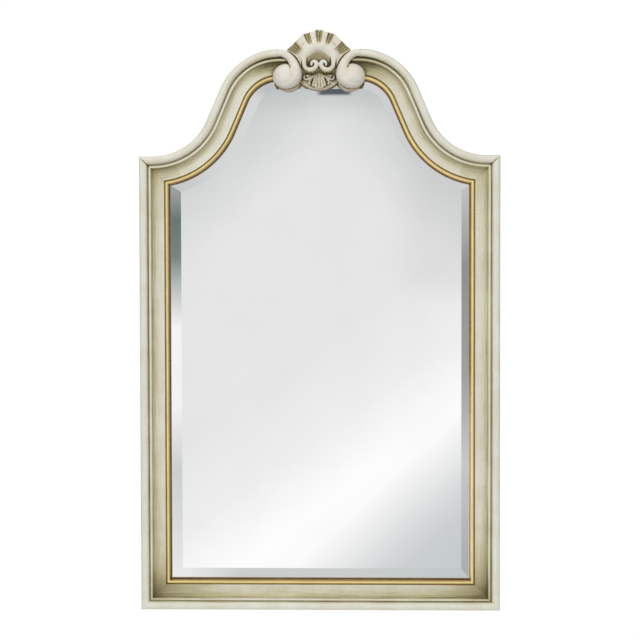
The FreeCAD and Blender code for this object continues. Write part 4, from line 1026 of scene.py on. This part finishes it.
studio = {
    "floorZ": -0.45, "floorRadius": 1.25, "floorSides": 96,
    "ambient": (-0.7, 0.7, 0.30, 0.74),  # from below to above
    "backdrop": (1.02, 1.02, 1.02, 1),
    "softboxes": [  # place, size, watts
        ((-1.5, -3.0, 2.1), 1.6, 30),
        ((1.7, -3.0, 0.9), 1.6, 24),
        ((0.4, 2.6, 2.2), 2.0, 24),
        ((-0.45, -1.9, 2.7), 0.8, 12),  # smaller and higher, it draws the carving out from above
    ],
    "target": (0, 0, 0.58),
    "leastAhead": 0.05,
    "slants": {"lead": 0.72, "past": 0.93}, "dome": (0.018, 0.88),
    # what the plate mirrors, each layer over the ones before it: blend, the readings that it fades in over,
    # and its colour, its colours along a reading, or layers of its own
    "mirrored": [
        # a long lamp hangs in front and leans to the right
        ("MIX", [], ("lead", 0.03, 0.16, [(0, "#E3E5E4"), (0.55, "#EBEDEC"), (1, "#FCFCFC")])),
        ("MULTIPLY", [], ("past", 0.15, 0.30, [
            (0, "#FFFFFF"), (0.22, "#FCFCFC"), (0.58, "#DADDDE"), (0.78, "#CBD0D1"), (1, "#C8CDCE")])),
        ("MULTIPLY", [], ("dome", 0.09, 0.20, [(0, "#FFFFFF"), (0.2, "#FEFEFE"), (1, "#E3E5E6")])),
        ("MULTIPLY", [("rise", 0.130, 0.160)], "#EDEDEE"),
        ("MULTIPLY", [("aside", 0.025, 0.065), ("rise", -0.02, 0.015)], "#F5F5F5"),
        # it hangs between a grey left wall and a grey right wall
        ("MIX", [("aside", -0.20, -0.26)], ("rise", -0.25, 0.15, [
            (0, "#E6E8E8"), (0.24, "#CACECE"), (0.37, "#EEF0F0"), (0.54, "#F2F4F4"), (0.69, "#798484"),
            (0.77, "#6A7575"), (0.83, "#999F9F"), (1, "#BABFBF")])),
        ("MIX", [("aside", 0.13, 0.19)], ("rise", -0.25, 0.15, [
            (0, "#A5AAAC"), (0.25, "#C3C7C7"), (0.43, "#9DA1A1"), (0.67, "#8D908F"), (0.82, "#BABDBC"),
            (1, "#C4C6C6")])),
        # overhead, and a plainer stretch of it on the right
        ("MIX", [("rise", 0.19, 0.23)], [
            ("MIX", [], ("rise", 0.20, 0.40, [(0, "#D6D8D8"), (0.5, "#D1D3D3"), (1, "#BABEC0")])),
            ("MIX", [("aside", -0.02, 0.04)], "#CCCECF")]),
        # the floor in front
        ("MIX", [("rise", -0.26, -0.32)], ("aside", -0.14, 0.09, [
            (0, "#E4E6E5"), (0.2, "#C9CDCC"), (0.75, "#C6CCCB"), (1, "#BFC6C5")])),
        # a window far left, for the gold: seen from the front, the plate doesn't mirror it
        ("MIX", [("aside", -0.50, -0.90)], "#FFFFFF"),
        # a dark stand behind the crest's reflection
        ("MIX", [("aside", -0.027, -0.021), ("aside", 0.004, -0.001), ("rise", 0.1520, 0.1545),
                 ("rise", 0.19, 0.18)], "#565A63"),
    ],
    "plateShare": 1.09,  # the silver gives back about 92 of 100
}

scene.view_settings.view_transform = "Standard"
world = bpy.data.worlds.new("studioSurroundings")
scene.world = world
world.use_nodes = True
sky = world.node_tree
sky.nodes.clear()
way = addNode(sky, "ShaderNodeSeparateXYZ", {
    "Vector": addNode(sky, "ShaderNodeTexCoord").outputs["Generated"]}).outputs
ahead = addNode(sky, "ShaderNodeMath", {0: way["Y"], 1: -1.0}, operation="MULTIPLY")
ahead = addNode(sky, "ShaderNodeMath", {0: ahead, 1: studio["leastAhead"]}, operation="MAXIMUM")
aside = addNode(sky, "ShaderNodeMath", {0: way["X"], 1: ahead}, operation="DIVIDE")
rise = addNode(sky, "ShaderNodeMath", {0: way["Z"], 1: ahead}, operation="DIVIDE")
readings = {"aside": aside, "rise": rise}
for name, slope in studio["slants"].items():
    leaning = addNode(sky, "ShaderNodeMath", {0: aside, 1: slope}, operation="MULTIPLY")
    readings[name] = addNode(sky, "ShaderNodeMath", {0: leaning, 1: rise}, operation="SUBTRACT")
shift, slope = studio["dome"]
leaning = addNode(sky, "ShaderNodeMath", {0: aside, 1: shift}, operation="ADD")
leaning = addNode(sky, "ShaderNodeMath", {0: leaning}, operation="ABSOLUTE")
leaning = addNode(sky, "ShaderNodeMath", {0: leaning, 1: slope}, operation="MULTIPLY")
readings["dome"] = addNode(sky, "ShaderNodeMath", {0: leaning, 1: rise}, operation="ADD")


def layered(layers):
    seen = None
    for blend, edges, look in layers:
        if isinstance(look, list):
            look = layered(look)
        elif isinstance(look, tuple):
            reading, low, high, stops = look
            share = addNode(sky, "ShaderNodeMapRange", {"Value": readings[reading]}, span=(low, high))
            look = addNode(sky, "ShaderNodeValToRGB", {"Fac": share}, stops=stops)
        amount = 1.0
        for reading, low, high in edges:  # each edge scales the one before
            amount = addNode(sky, "ShaderNodeMapRange", {"Value": readings[reading], "To Max": amount},
                             span=(low, high), interpolation_type="SMOOTHSTEP")
        if seen:
            look = addNode(sky, "ShaderNodeMix", {"Factor": amount, "A": seen, "B": look},
                           data_type="RGBA", blend_type=blend)
        seen = look
    return seen


seen = addNode(sky, "ShaderNodeVectorMath", {0: layered(studio["mirrored"]), "Scale": studio["plateShare"]},
               operation="SCALE")
ray = addNode(sky, "ShaderNodeLightPath")
ambient = addNode(sky, "ShaderNodeMapRange", {"Value": way["Z"]}, span=studio["ambient"])
ambient = addNode(sky, "ShaderNodeCombineColor", {"Red": ambient, "Green": ambient, "Blue": ambient})
plain = addNode(sky, "ShaderNodeMix", {
    "Factor": ray.outputs["Is Camera Ray"], "A": ambient, "B": studio["backdrop"]}, data_type="RGBA")
surroundings = addNode(sky, "ShaderNodeMix", {
    "Factor": ray.outputs["Is Glossy Ray"], "A": plain, "B": seen}, data_type="RGBA")
background = addNode(sky, "ShaderNodeBackground", {"Color": surroundings})
addNode(sky, "ShaderNodeOutputWorld", {"Surface": background})

for number, (spot, size, watts) in enumerate(studio["softboxes"], 1):
    lampData = bpy.data.lights.new(f"softbox{number}", "AREA")
    lampData.size, lampData.energy = size, watts
    lampObject = bpy.data.objects.new(f"softbox{number}", lampData)
    scene.collection.objects.link(lampObject)
    lampObject.location = spot
    lampObject.visible_glossy = False  # the plate reflects the surroundings, not the lamps
    lampObject.rotation_euler = (Vector(studio["target"]) - Vector(spot)).to_track_quat("-Z", "Y").to_euler()

around = []
for k in range(studio["floorSides"]):
    turn = k * math.tau / studio["floorSides"]
    around.append((math.cos(turn) * studio["floorRadius"], math.sin(turn) * studio["floorRadius"],
                   studio["floorZ"]))
floorMesh = bpy.data.meshes.new("paleFloor")
floorMesh.from_pydata(around, [], [tuple(range(studio["floorSides"]))])
floorPiece = newPiece("paleFloor", floorMesh, [finishes["paleMattFloor"]])
floorPiece.visible_glossy = False

# The camera stands a little to the right of the middle and above it, nearly square on

view = {"place": (0.0580, -2.5000, 0.6372), "aim": (0.0009, -0.020, 0.5743), "roll": -0.119, "lens": 70.609}
cameraData = bpy.data.cameras.new("camera")
cameraData.lens, cameraData.sensor_width = view["lens"], 36
camera = bpy.data.objects.new("camera", cameraData)
scene.collection.objects.link(camera)
camera.location = view["place"]
turn = (Vector(view["aim"]) - Vector(view["place"])).to_track_quat("-Z", "Y").to_matrix().to_4x4()
camera.rotation_euler = turn.to_euler()
camera.rotation_euler.rotate_axis("Z", math.radians(view["roll"]))
cameraData.clip_start, cameraData.clip_end = 0.05, 60
scene.camera = camera
